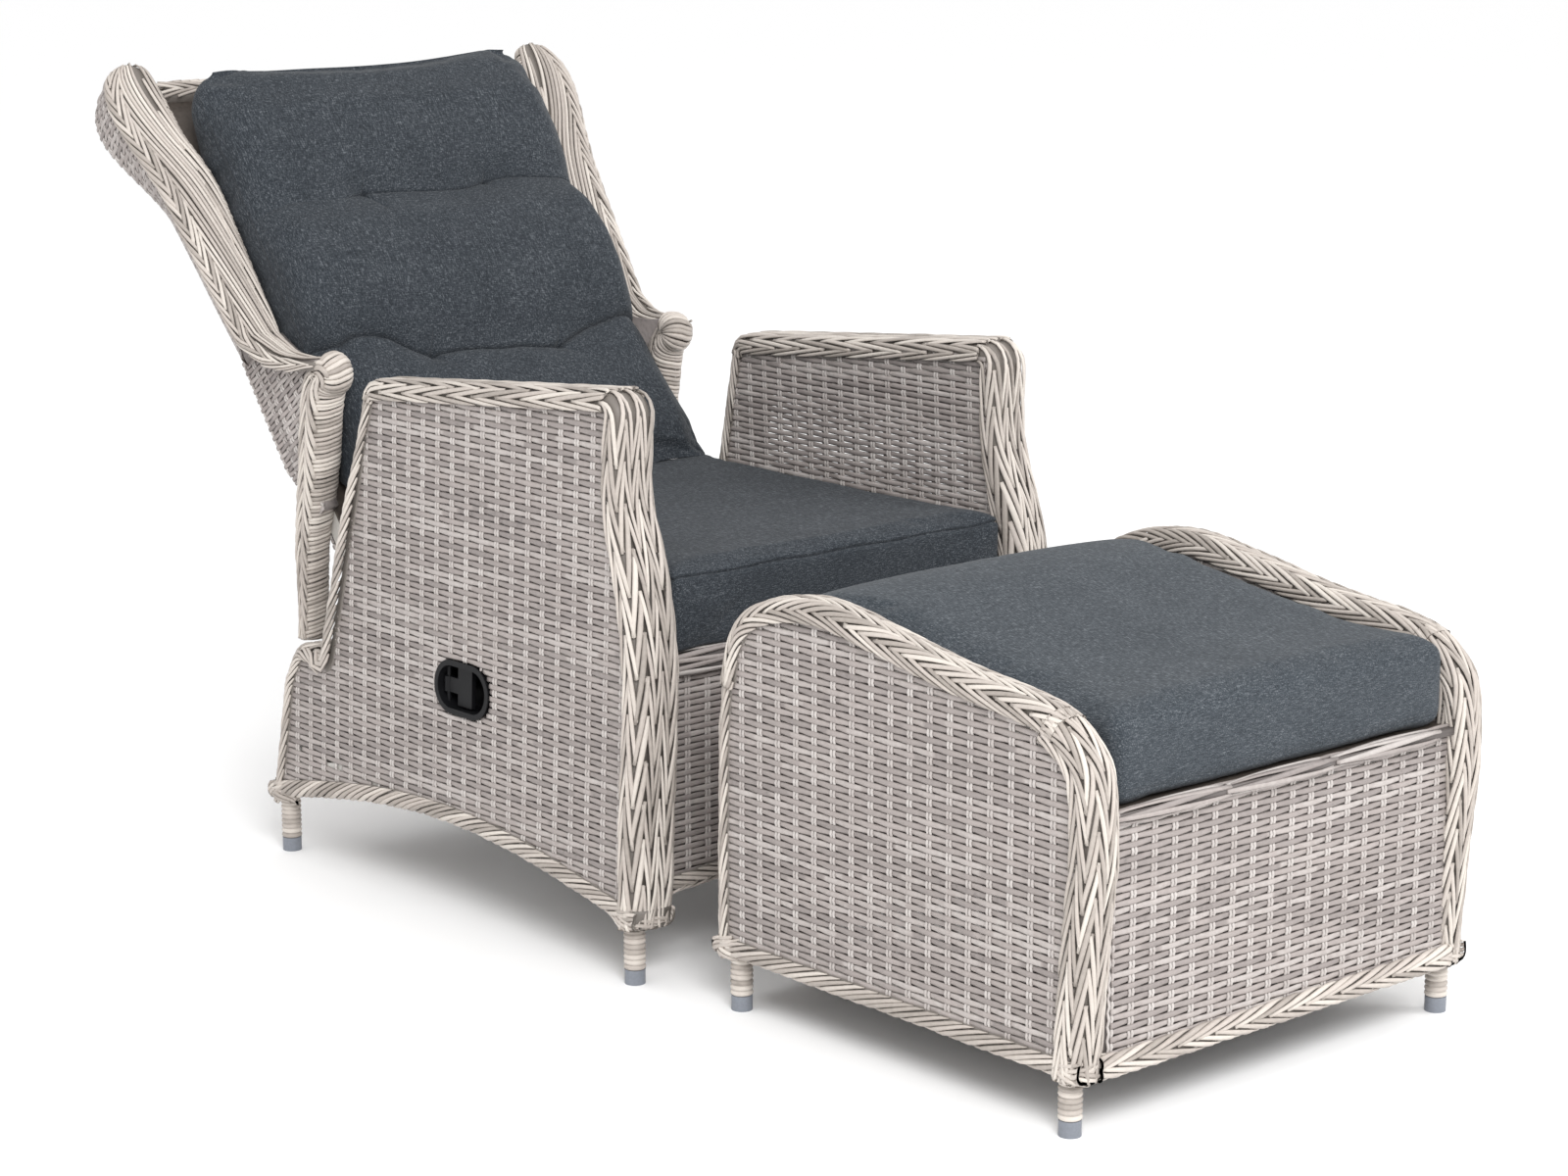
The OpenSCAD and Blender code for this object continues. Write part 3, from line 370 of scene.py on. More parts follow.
def baked(thing):
    """A plain mesh of an object as its modifiers leave it."""
    graph = bpy.context.evaluated_depsgraph_get()
    return bpy.data.meshes.new_from_object(thing.evaluated_get(graph), preserve_all_data_layers=True,
                                           depsgraph=graph)


def places_of(mesh):
    verts = np.empty(len(mesh.vertices) * 3)
    mesh.vertices.foreach_get("co", verts)
    return verts.reshape(-1, 3)


def arrays_of(mesh):
    """A mesh's points, the point at each corner of its faces, and how many corners each face has."""
    loops = np.empty(len(mesh.loops), dtype=np.int64)
    mesh.loops.foreach_get("vertex_index", loops)
    totals = np.empty(len(mesh.polygons), dtype=np.int64)
    mesh.polygons.foreach_get("loop_total", totals)
    return places_of(mesh), loops, totals


def starts_of(totals):
    """Where each face's corners start."""
    return np.concatenate([[0], np.cumsum(totals)[:-1]])


def grown(tree, sizes):
    """The plain mesh that a tree gives for some sizes, as arrays in millimetres."""
    host = linked("host", bpy.data.meshes.new("host"))
    live = host.modifiers.new("build", "NODES")
    live.node_group = tree
    for item in tree.interface.items_tree:
        if item.in_out == "INPUT" and item.name in sizes:
            live[item.identifier] = sizes[item.name]
    mesh = baked(host)
    bpy.data.objects.remove(host)
    verts, loops, totals = arrays_of(mesh)
    tone = np.full(len(verts), 0.5)
    if "tone" in mesh.attributes and len(tone):
        mesh.attributes["tone"].data.foreach_get("value", tone)
    bpy.data.meshes.remove(mesh)
    return verts, loops, totals, tone


class Piece:
    """Gathers the parts of one finished piece, in millimetres, and makes its object."""

    def __init__(self):
        self.verts, self.loops, self.totals, self.tones, self.count = [], [], [], [], 0

    def add(self, verts, loops, totals, tone):
        """Adds one mesh, its faces turned outwards."""
        if len(verts) == 0:
            return
        starts = starts_of(totals)
        middle = verts.mean(axis=0)
        a = verts[loops[starts]] - middle
        volume = 0.0
        for k in range(1, int(totals.max()) - 1):
            has = totals > k + 1
            b = verts[loops[starts[has] + k]] - middle
            c = verts[loops[starts[has] + k + 1]] - middle
            volume += float((a[has] * np.cross(b, c)).sum())
        if volume < 0:
            owner = np.repeat(np.arange(len(totals)), totals)
            loops = loops[2 * starts[owner] + totals[owner] - 1 - np.arange(len(loops))]
        self.verts.append(verts)
        self.loops.append(loops + self.count)
        self.totals.append(totals)
        self.tones.append(tone)
        self.count += len(verts)

    def object(self, name, body, node, finish, slot):
        verts, loops = to_row(np.concatenate(self.verts)), np.concatenate(self.loops)
        totals = np.concatenate(self.totals)
        mesh = bpy.data.meshes.new(name)
        mesh.vertices.add(len(verts))
        mesh.vertices.foreach_set("co", verts.ravel())
        mesh.loops.add(len(loops))
        mesh.loops.foreach_set("vertex_index", loops.astype(np.int32))
        mesh.polygons.add(len(totals))
        mesh.polygons.foreach_set("loop_start", starts_of(totals).astype(np.int32))
        mesh.polygons.foreach_set("use_smooth", np.full(len(totals), True))
        mesh.update(calc_edges=True)
        mesh.attributes.new("tone", "FLOAT", "POINT").data.foreach_set("value", np.concatenate(self.tones))
        mesh.materials.append(finish)
        thing = linked(name, mesh)
        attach(thing, body)
        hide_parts(node)
        return thing


def loft(rings, tone=0.5):
    """A closed skin through rings of equal count."""
    rings = np.array(rings, dtype=float)
    m, k = rings.shape[:2]
    i, j = np.meshgrid(np.arange(m - 1), np.arange(k), indexing="ij")
    a, b = i * k + j, i * k + (j + 1) % k
    quads = np.stack([a, b, b + k, a + k], -1).reshape(-1, 4)
    loops = np.concatenate([quads.ravel(), np.arange(k)[::-1], (m - 1) * k + np.arange(k)])
    totals = np.concatenate([np.full(len(quads), 4), [k, k]])
    return rings.reshape(-1, 3), loops, totals, np.full(m * k, tone)


def plate(outline, d0, d1, place, tone):
    """A flat plate between two depths, drawn from its outline."""
    pts = np.array(outline, dtype=float)
    return loft([place(pts[:, 0], pts[:, 1], np.full(len(pts), d)) for d in (d0, d1)], tone)


# Finishes
def material(name):
    made = bpy.data.materials.new(name)
    made.use_nodes = True
    return made, Nodes(made.node_tree), made.node_tree.nodes["Principled BSDF"]


def ramp(n, value, stops):
    node = n.add("ShaderNodeValToRGB", {"Fac": value})
    band = node.color_ramp
    while len(band.elements) < len(stops):
        band.elements.new(0.5)
    for element, (place, colour) in zip(band.elements, stops):
        element.position, element.color = place, (*colour, 1.0)
    return node.outputs["Color"]


def noise(n, scale, detail=2.0, stretch=None, rough=0.5, turn=0.0):
    place = n.add("ShaderNodeTexCoord").outputs["Object"]
    if turn:
        place = n.add("ShaderNodeMapping", {"Vector": place, "Rotation": (turn, 0.0, 0.0)}).outputs[0]
    if stretch:
        place = n.add("ShaderNodeMapping", {"Vector": place, "Scale": stretch}).outputs[0]
    return n.add("ShaderNodeTexNoise", {"Vector": place, "Scale": scale, "Detail": detail,
                 "Roughness": rough}).outputs["Fac"]


def mix(n, a, b, share):
    """Two values added, the second by its share."""
    return n.sum("ADD", n.sum("MULTIPLY", a, 1.0 - share), n.sum("MULTIPLY", b, share))


def relief(n, shader, strength, distance, height):
    bump = n.add("ShaderNodeBump", {"Strength": strength, "Distance": distance, "Height": height})
    n.tree.links.new(bump.outputs[0], shader.inputs["Normal"])


def wicker(name, deep, middle, light):
    """Plastic wicker: each strand its own shade, streaked and faintly ribbed; what lies under the strands is
    painted dark, as painted shade in the gaps.
    """
    made, n, shader = material(name)
    tone = n.add("ShaderNodeAttribute", attribute_name="tone").outputs["Fac"]
    streak = noise(n, 160.0, 3.0)
    # painted shade: the lowest stop, darker than any strand, colours cores and backings as the shadow between
    # strands
    gap_shade = tuple(0.55 * part for part in deep)
    colour = ramp(n, mix(n, tone, streak, 0.3), [(0.03, gap_shade), (0.14, deep), (0.5, middle), (0.88, light)])
    n.tree.links.new(colour, shader.inputs["Base Color"])
    n.tree.links.new(n.sum("ADD", n.sum("MULTIPLY", streak, 0.2), 0.42), shader.inputs["Roughness"])
    relief(n, shader, 0.25, 0.0006, noise(n, 900.0, 2.0))
    shader.inputs["Specular IOR Level"].default_value = 0.42
    return made


def fabric(name, deep, middle, light, turn=0.0):
    """Heathered outdoor cloth: crossing threads of a few dark shades, the longer ones along Y once turned."""
    made, n, shader = material(name)
    warp = noise(n, 190.0, 2.0, (4.2, 0.65, 4.2), 0.6, turn)
    weft = noise(n, 190.0, 2.0, (0.8, 4.2, 4.2), 0.6, turn)
    threads = mix(n, warp, weft, 0.42)
    value = mix(n, threads, noise(n, 14.0, 3.0), 0.07)
    colour = ramp(n, value, [(0.38, deep), (0.53, middle), (0.66, light)])
    n.tree.links.new(colour, shader.inputs["Base Color"])
    shader.inputs["Roughness"].default_value = 0.92
    shader.inputs["Specular IOR Level"].default_value = 0.2
    shader.inputs["Sheen Weight"].default_value = 0.06
    shader.inputs["Sheen Roughness"].default_value = 0.5
    relief(n, shader, 0.5, 0.0008, threads)
    return made


def hard(name, colour, rough, metal=0.0, shine=0.5):
    """Moulded plastic, paint or bare metal with a fine grain and slight wear."""
    made, n, shader = material(name)
    fine, worn = noise(n, 300.0, 3.0), noise(n, 22.0, 4.0)
    low, high = (tuple(c * k for c in colour) for k in (0.88, 1.12))
    n.tree.links.new(ramp(n, mix(n, fine, worn, 0.5), [(0.3, low), (0.7, high)]), shader.inputs["Base Color"])
    n.tree.links.new(n.sum("ADD", n.sum("MULTIPLY", worn, 0.2), rough - 0.1), shader.inputs["Roughness"])
    shader.inputs["Metallic"].default_value = metal
    shader.inputs["Specular IOR Level"].default_value = shine
    relief(n, shader, 0.15, 0.0004, fine)
    return made


PLAIT = wicker("pale_plait_wicker", (0.315, 0.28, 0.25), (0.48, 0.43, 0.39), (0.64, 0.59, 0.535))
WEAVE = wicker("greige_weave_wicker", (0.245, 0.216, 0.206), (0.345, 0.306, 0.29), (0.545, 0.512, 0.49))
# painted shade: a far darker copy of the weave's colours for the seat and footstool decks and the back's
# front weave, which show only in the shadowed gaps beside the cushions
SHADED_DECK = wicker("deck_wicker_painted_shade", (0.08, 0.065, 0.055), (0.14, 0.12, 0.10), (0.2, 0.175, 0.155))
SLATE = ((0.015, 0.0185, 0.023), (0.034, 0.040, 0.048), (0.125, 0.137, 0.15))
CLOTH = fabric("slate_cloth", *SLATE)
BACK_CLOTH = fabric("slate_cloth_back", *SLATE, turn=RECLINE - math.pi / 2)
# painted light: a lighter copy of the slate cloth for the footstool cushion, which stands in fuller light
# than the chair's cushions
LIT_STOOL_CLOTH = fabric("slate_cloth_stool_painted_light", (0.021, 0.026, 0.032), (0.048, 0.057, 0.067), (0.145, 0.158, 0.172))
TUBE = hard("powder_coated_tube", (0.52, 0.50, 0.47), 0.45)
STEEL = hard("zinc_plated_steel", (0.55, 0.55, 0.56), 0.35, 0.9)
BLACK = hard("black_moulded_plastic", (0.007, 0.007, 0.008), 0.42, shine=0.16)
PAINT = hard("black_spring_paint", (0.02, 0.02, 0.022), 0.3)
CAP = hard("grey_foot_plastic", (0.20, 0.215, 0.245), 0.45, shine=0.3)

PLAITS, WEAVES = plait_tree(), weave_tree()
PAINTED_GAP_SHADE = -0.4  # the tone of what strands are wound on or lie over, painted dark as the shade in the gaps between strands
EDGE_MARGIN = 12.0  # how far inside its edge a side's weave stays

# Outlines
FRONT_SHARES = [(-0.502, 0.27), (-0.507, 0.49), (-0.497, 0.60), (-0.479, 0.69), (-0.448, 0.81),
                (-0.446, 0.90)]
REAR_SHARES = [(0.2225, 0.932, 0.4), (0.343, 0.385, 0.1), (0.357, 0.412, 0.17), (0.425, 0.414, 0.5),
               (0.463, 0.34, 0.7), (0.479, 0.22, 0)]
STOOL_SHARES = [(0.481, 0.22), (0.480, 0.495), (0.476, 0.673), (0.458, 0.832), (0.416, 0.928), (0.320, 0.982),
                (0.192, 1.0), (0.051, 0.976), (-0.150, 0.933), (-0.323, 0.909), (-0.408, 0.884),
                (-0.467, 0.828), (-0.494, 0.757), (-0.500, 0.604), (-0.494, 0.523), (-0.481, 0.359),
                (-0.472, 0.203)]

front_line = [(FRONT_Y, SKIRT_Z)] + spline([(s[0] * SIDE_DEPTH, s[1] * ARM_H) for s in FRONT_SHARES])
rear_line = [(s[0] * SIDE_DEPTH, s[1] * ARM_H, s[2] * ARM_T) for s in REAR_SHARES]
front_corner = rounded_corner(front_line[-1], (-0.45 * SIDE_DEPTH, ARM_H), rear_line[0][:2], ARM_T / 2)
arch_line = [(REAR_Y + (FRONT_Y - REAR_Y) * k / 24, SKIRT_Z + ARCH * math.sin(math.pi * k / 24))
             for k in range(25)]
rear_all = rounded_path([(*front_corner[-1], 0)] + rear_line + [(REAR_Y, SKIRT_Z, 0)])
shoulder = next(i for i, p in enumerate(rear_all) if p[1] < 0.90 * ARM_H)
side_outline = arch_line + front_line[1:] + front_corner + rear_all[1:-1]
STOOL_FOOT_FRONT, STOOL_FOOT_REAR = STOOL_MID - 0.470 * STOOL_DEPTH, STOOL_MID + 0.480 * STOOL_DEPTH
stool_line = spline([(STOOL_MID + s[0] * STOOL_DEPTH, s[1] * STOOL_H) for s in STOOL_SHARES], 5)
stool_outline = [(STOOL_FOOT_REAR, STOOL_SKIRT)] + stool_line + [(STOOL_FOOT_FRONT, STOOL_SKIRT)]


def flat_shape(name, outline):
    """A face that trims a woven panel; it isn't part of the scene."""
    mesh = bpy.data.meshes.new(name)
    mesh.from_pydata([(float(p[0]), float(p[1]), 0.0) for p in outline], [], [list(range(len(outline)))])
    return bpy.data.objects.new(name, mesh)


nowhere = flat_shape("nowhere", [(1e5, 0), (1e5 + 1, 0), (1e5, 1)])


def weave(piece, outline, place, depth, opening=None, margin=0.0, seed=1, row=7.7, stake=31.0, phase=0.0,
          turned=False):
    """Weaves a panel inside an outline, its strands centred at a depth below the face."""
    pts = np.array(outline, dtype=float)[:, ::-1 if turned else 1]
    low, high = pts.min(axis=0), pts.max(axis=0)
    shape = flat_shape("shape", pts)
    verts, loops, totals, tone = grown(WEAVES, {
        "Left": float(low[0] + phase), "Bottom": float(low[1]), "Width": float(high[0] - low[0]),
        "Height": float(high[1] - low[1]), "Row pitch": row, "Weaver width": row * 0.9, "Stake pitch": stake,
        "Stake spread": 2.4, "Stake width": 4.3, "Thickness": 2.5, "Rise": 1.15, "Margin": margin,
        "Outline": shape, "Opening": opening or nowhere, "Seed": seed, "Material": WEAVE})
    bpy.data.objects.remove(shape)
    across, up = (verts[:, 1], verts[:, 0]) if turned else (verts[:, 0], verts[:, 1])
    piece.add(place(across, up, depth - verts[:, 2]), loops, totals, tone)


def pitch_of(width, leaf, strand):
    """The distance along a column from one strand to the next that lies beside it."""
    return strand / math.sin(math.atan2(abs(width), leaf))


def smooth(value):
    """0 to 1 with a soft start and end."""
    v = np.clip(value, 0.0, 1.0)
    return v * v * (3 - 2 * v)


def column(length, width, slant, leaf, strand, seed, thick=3.4, rise=1.6, steps=9):
    """One column of plaited strands in strip space: along, across, up."""
    return grown(PLAITS, {
        "Length": float(length), "Pitch": float(pitch_of(width, leaf, strand)), "Column width": float(width),
        "Leaf length": float(leaf), "Strand width": float(strand), "Strand thickness": float(thick),
        "Rise": rise, "Dip": 1.2, "Slant": float(slant), "Steps": steps, "Seed": seed, "Material": PLAIT})


def border(piece, path, section, place, bounds, leaf, strand, seed, lift=0.0, start=0.0, end=None,
           steps=9, thick=3.4, rise=1.6, swell=None, share=None):
    """Plaits a border round an edge: its columns lie between the given places across the section.

    At an end of the path the strands start half a leaf early, so that they cover it fully."""
    end = path.length if end is None else end
    for k, (a, b) in enumerate(zip(bounds, bounds[1:])):
        pitch = pitch_of(b - a, leaf, strand)
        spare = pitch * math.ceil(leaf / 2 / pitch)
        early, late = (spare if start < 3 else 0.0), (spare if end > path.length - 1 else 0.0)
        verts, loops, totals, tone = column(end - start + early + late, abs(b - a), (-1) ** k, leaf, strand,
                                            seed * 31 + k, thick, rise, steps)
        t = a + verts[:, 1] * math.copysign(1, b - a)
        s = np.clip(verts[:, 0] + start - early, start - 4, end + 4)
        base, inward = path.at(s)
        u, d, nu, nd = section.at(t)
        u = u * share(s) if share else u
        h = verts[:, 2] + lift + (swell(s, t) if swell else 0.0)
        flat = base + inward * (u + h * nu)[:, None]
        piece.add(place(flat[:, 0], flat[:, 1], d + h * nd), loops, totals, tone)


def core(piece, path, section, place, start=0.0, end=None, share=None, shrink=2.0):
    """The solid core that a plaited border is wound on, coloured dark as painted shade between the strands.
    """
    end = path.length if end is None else end
    t = np.linspace(section.half, -section.half, 24)
    u, d, nu, nd = section.at(t)
    u, d = u - shrink * nu, d - shrink * nd
    rings = []
    for s in np.arange(start, end + 3.9, 4.0):
        base, inward = path.at(np.full(len(t), min(s, end)))
        flat = base + inward * (u * share(s) if share else u)[:, None]
        rings.append(place(flat[:, 0], flat[:, 1], d))
    piece.add(*loft(rings, PAINTED_GAP_SHADE))


def plaited(piece, path, section, place, shares, leaf, strand, seed, core_from=0.0, **plait):
    """A border on its core; the columns lie between shares of the section's half length."""
    core(piece, path, section, place, core_from, plait.get("end"), plait.get("share"))
    border(piece, path, section, place, [section.half * part for part in shares], leaf, strand, seed, **plait)


# Chair sides
front_edge_path = front_line + front_corner
edge_path = Path(front_edge_path + rear_all[1:shoulder], side=-1)
rear_path = Path(rear_all[shoulder - 1:], side=-1)
arch_path = Path(arch_line[::-1], side=1)
edge_section = Section(23.0, ARM_T, 12.0)
rear_section, skirt_section = Section(REAR_W + 2, ARM_T), Section(SKIRT_W + 1, ARM_T, 8.0)

EDGE_SHARES, REAR_COLUMNS = np.linspace(1, -1, 10), [1, 0.62, 0.24, -0.24, -0.62, -1]
REAR_LEAF, REAR_STRAND = 62, 4.4
SKIRT_COLUMNS, SKIRT_LEAF, SKIRT_STRAND = [1, 0.36, -0.36, -1], 92, 5.0
EDGE_LEAF, EDGE_STRAND = 108.0, 4.8
edge_pitch = pitch_of(edge_section.half * EDGE_SHARES[0] - edge_section.half * EDGE_SHARES[1], EDGE_LEAF,
                      EDGE_STRAND)
corner_s = edge_pitch * round(Path(front_edge_path, side=-1).length / edge_pitch)


def post_swell(s, t):
    """The post's plait is fuller low down, on its front and inner sides."""
    low = smooth((540.0 - s) / 130.0) * smooth((s + 10.0) / 60.0)
    return 1.2 + 6.8 * low * smooth((edge_section.half * 0.62 - t) / 20.0)


def rear_swell(s, t):
    """The rear edge's plait is fuller in its upper half, on its outer side."""
    return 8.0 * smooth(s / 230.0) * smooth((430.0 - s) / 70.0) * smooth((t + 18.0) / 20.0)


def foot_wrap(piece, half, end_y, way, thick, low, seed, reach=44.0, radius=12.0):
    """The bottom rope where it turns round the foot of a post; way is 1 at the front, -1 at the rear."""
    inside, back = half - thick, end_y + way * reach
    path = Path(rounded_path([(half, back, 0), (half, end_y, radius), (inside, end_y, radius),
                              (inside, back, 0)]), side=-way)
    for sign in (-1, 1):
        for k, (leaf, rise) in enumerate([(66.0, 2.2), (58.0, 1.4)]):
            slant = sign * way * (-1) ** k
            verts, loops, totals, tone = column(path.length, 15.0 - 3.0 * k, slant, leaf, 5.0,
                                                seed + sign + k, rise=rise)
            run = np.clip(verts[:, 0], -4, path.length + 4)
            buried = 8.0 * (2 - smooth(run / 26.0) - smooth((path.length - run) / 26.0))
            base, inward = path.at(run)
            flat = base - inward * (verts[:, 2] + 1.6 - buried)[:, None]
            droop = 3.0 * np.sin(np.clip(verts[:, 0] / path.length, 0, 1) * math.pi)
            piece.add(np.stack([sign * flat[:, 0], flat[:, 1], low + verts[:, 1] + 13.0 * k - droop], -1),
                      loops, totals, tone)


CUP_R = CUP_H / 2 - 1
cup_hole = flat_shape("cup_hole", [
    (CUP_Y + (CUP_L - CUP_H) / 2 * math.copysign(1, math.cos(a)) + CUP_R * math.cos(a),
     CUP_Z + CUP_R * math.sin(a)) for a in np.linspace(0.01, 2 * math.pi - 0.01, 40)])

posts, tops, rears, skirts, inner = (Piece() for _ in range(5))
for number, (label, sign) in enumerate([("right", -1), ("left", 1)]):
    place = chair_side(sign)
    outer = Piece()
    weave(outer, side_outline, place, 4.0, cup_hole if label == "right" else None, EDGE_MARGIN, 11 + number)
    outer.object("outer_weave_" + label + "_woven", "base", "outer_weave_" + label, WEAVE, "weave")
    weave(inner, side_outline, place, ARM_T - 3.0, margin=EDGE_MARGIN, seed=21 + number)
    for piece, core_from, start, end in ((posts, 2.0, 0.0, corner_s), (tops, corner_s, corner_s, None)):
        plaited(piece, edge_path, edge_section, place, EDGE_SHARES, EDGE_LEAF, EDGE_STRAND, 31 + number,
                core_from, start=start, end=end, swell=post_swell, steps=11)
    plaited(rears, rear_path, rear_section, place, REAR_COLUMNS, REAR_LEAF, REAR_STRAND, 51 + number,
            lift=0.6, swell=rear_swell)
    plaited(skirts, arch_path, skirt_section, place, SKIRT_COLUMNS, SKIRT_LEAF, SKIRT_STRAND, 61 + number,
            core_from=-2, lift=0.8)
for end_y, way, seed in ((FRONT_Y, 1, 65), (REAR_Y, -1, 68)):
    foot_wrap(skirts, HALF_W, end_y, way, ARM_T, SKIRT_Z - 1.0, seed)
inner.object("inner_weaves_dressed", "base", "inner_weaves", WEAVE, "weave")
posts.object("front_post_plaits", "base", "front_post_braids", PLAIT, "plait")
tops.object("arm_top_plaits", "base", "arm_top_braids", PLAIT, "plait")
rears.object("arm_rear_plaits", "base", "arm_rear_braids", PLAIT, "plait")
skirts.object("skirt_plaits", "base", "skirt_braids", PLAIT, "plait")

# Footstool
front_from = next(i for i, p in enumerate(stool_outline) if p[0] < STOOL_MID - 0.40 * STOOL_DEPTH)
rear_to = next(i for i, p in enumerate(stool_outline) if p[1] > 0.80 * STOOL_H)
s_posts, s_tops, s_rears, s_skirts, s_outer, s_inner = (Piece() for _ in range(6))
# Each edge of a footstool's side: its path, section, columns, leaf, strand, seed and the rest
STOOL_EDGES = (
    (s_posts, Path(stool_outline[front_from - 1:][::-1], side=-1), Section(34.0, STOOL_T, 14.0),
     np.linspace(1, -1, 9), 95, EDGE_STRAND, 91, {"lift": 1.4, "steps": 11}),
    (s_tops, Path(stool_outline[rear_to - 1:front_from + 1][::-1], side=-1),
     Section(TOP_W + 2, STOOL_T, 12.0), [1, 0.62, 0.2, -0.2, -0.62, -1], 80, EDGE_STRAND, 95,
     {"lift": 1.4, "steps": 11}),
    (s_rears, Path(stool_outline[:rear_to + 1][::-1], side=-1), Section(REAR_W + 2, STOOL_T),
     [1, 0.6, 0.2, -0.2, -0.6, -1], REAR_LEAF, REAR_STRAND, 101, {}),
    (s_skirts, Path([(STOOL_FOOT_FRONT, STOOL_SKIRT), (STOOL_FOOT_REAR, STOOL_SKIRT)], side=1),
     Section(SKIRT_W + 1, STOOL_T, 8.0), SKIRT_COLUMNS, SKIRT_LEAF, SKIRT_STRAND, 111, {"lift": 0.8}))
for number, sign in enumerate((-1, 1)):
    place = stool_side(sign)
    weave(s_outer, stool_outline, place, 4.0, margin=EDGE_MARGIN, seed=71 + number)
    weave(s_inner, stool_outline, place, STOOL_T - 3.0, margin=EDGE_MARGIN, seed=81 + number)
    for piece, path, section, shares, leaf, strand, seed, plait in STOOL_EDGES:
        plaited(piece, path, section, place, shares, leaf, strand, seed + number, **plait)
for end_y, way, seed in ((STOOL_FOOT_FRONT, 1, 115), (STOOL_FOOT_REAR, -1, 118)):
    foot_wrap(s_skirts, STOOL_HALF, end_y, way, STOOL_T, STOOL_SKIRT - 1.0, seed)


def across_panel(y_face, way):
    """A panel across the chair: width, height, depth behind its face; way is -1 where it faces the front."""
    def place(x, z, d):
        return np.stack([x, y_face - way * d, z], -1)
    return place


def rectangle(x0, x1, z0, z1):
    return [(x0, z0), (x1, z0), (x1, z1), (x0, z1)]


def bar_border(piece, y0, y1, z0, z1, end, columns, leaf, strand, seed, lift=0.6):
    """A plait wound lengthwise round a bar that runs across the part, from -end to end."""
    mid_y, mid_z = (y0 + y1) / 2, (z0 + z1) / 2
    k = np.linspace(0, 2 * math.pi, 49)
    ny, nz = np.cos(k), np.sin(k)
    py = np.sign(ny) * np.abs(ny) ** 0.5 * (y1 - y0) / 2
    pz = np.sign(nz) * np.abs(nz) ** 0.5 * (z1 - z0) / 2
    run = np.concatenate([[0], np.cumsum(np.hypot(np.diff(py), np.diff(pz)))])
    core_y, core_z = mid_y + (py - 1.5 * ny)[:48], mid_z + (pz - 1.5 * nz)[:48]
    piece.add(*loft([np.stack([np.full(48, x), core_y, core_z], -1) for x in (-end, end)], PAINTED_GAP_SHADE))
    total = run[-1]
    steps = np.linspace(0, total, columns + 1)
    for i in range(columns):
        verts, loops, totals, tone = column(2 * end + leaf, total / columns, (-1) ** i, leaf, strand,
                                            seed + i)
        t = (steps[i] + verts[:, 1]) % total
        h = verts[:, 2] + lift
        y = mid_y + np.interp(t, run, py) + h * np.interp(t, run, ny)
        z = mid_z + np.interp(t, run, pz) + h * np.interp(t, run, nz)
        x = np.clip(verts[:, 0] - end - leaf / 2, -end - 3, end + 3)
        piece.add(np.stack([x, y, z], -1), loops, totals, tone)


STOOL_IN = STOOL_HALF - STOOL_T
PANEL_Y, STOOL_BACK_Y = STOOL_FRONT + 16.0, STOOL_FRONT + STOOL_DEPTH * 0.965
RIM_LEAF, RIM_STRAND = 170, 5.6
front_panel, rear_panel, rim = Piece(), Piece(), Piece()
for panel, face, way, top, seed, phase, backing, depth in (
        (front_panel, PANEL_Y, -1, 352.0, 121, 12.0, PANEL_Y, 4.0),
        (rear_panel, STOOL_BACK_Y + 4, 1, 350.0, 122, 0.0, STOOL_BACK_Y, -2.0)):
    weave(panel, rectangle(-STOOL_IN - 4, STOOL_IN + 4, STOOL_SKIRT + 6, top), across_panel(face, way), 2.0,
          seed=seed, phase=phase)
    panel.add(*plate(rectangle(-STOOL_IN, STOOL_IN, 70, 348), depth, depth + 2.0,
                     across_panel(backing, -1), PAINTED_GAP_SHADE))
front_panel.object("stool_front_panel", "footstool", "stool_front_weave", WEAVE, "weave")
rear_panel.object("stool_rear_panel", "footstool", "stool_rear_weave", WEAVE, "weave")
for y in (PANEL_Y, STOOL_BACK_Y):
    bar_border(s_skirts, y - 5, y + 9, STOOL_SKIRT - 1, STOOL_SKIRT + 21, STOOL_IN + 8, 4, SKIRT_LEAF,
               SKIRT_STRAND, 131)
bar_border(rim, PANEL_Y - 9, PANEL_Y + 4, 339, 351, STOOL_IN, 8, RIM_LEAF, RIM_STRAND, 141)
s_outer.object("stool_outer_panels", "footstool", "stool_outer_weaves", WEAVE, "weave")
s_inner.object("stool_inner_panels", "footstool", "stool_inner_weaves", WEAVE, "weave")
s_posts.object("stool_post_plaits", "footstool", "stool_post_braids", PLAIT, "plait")
s_tops.object("stool_top_plaits", "footstool", "stool_top_braids", PLAIT, "plait")
s_rears.object("stool_rear_plaits", "footstool", "stool_rear_braids", PLAIT, "plait")
s_skirts.object("stool_skirt_plaits", "footstool", "stool_skirt_braids", PLAIT, "plait")
rim.object("stool_rim_woven", "footstool", "stool_front_rim", WEAVE, "plait")

# Panels across the chair
APRON_Y, REAR_WEAVE_Y, APRON_HALF = FRONT_Y + 38.0, REAR_Y - 24.5, 297.0


def low_line(x):
    return 84.0 + 20.0 * math.sin(math.pi * (x / HALF_W + 1) / 2)


def apron_outline(top, share=1.0):
    """A panel over the arched bottom line, narrowed to a share of its width."""
    outline = [(x, low_line(x) + 8) for x in np.linspace(-APRON_HALF, APRON_HALF, 25)]
    return [(x * share, z) for x, z in outline + [(APRON_HALF, top), (-APRON_HALF, top)]]


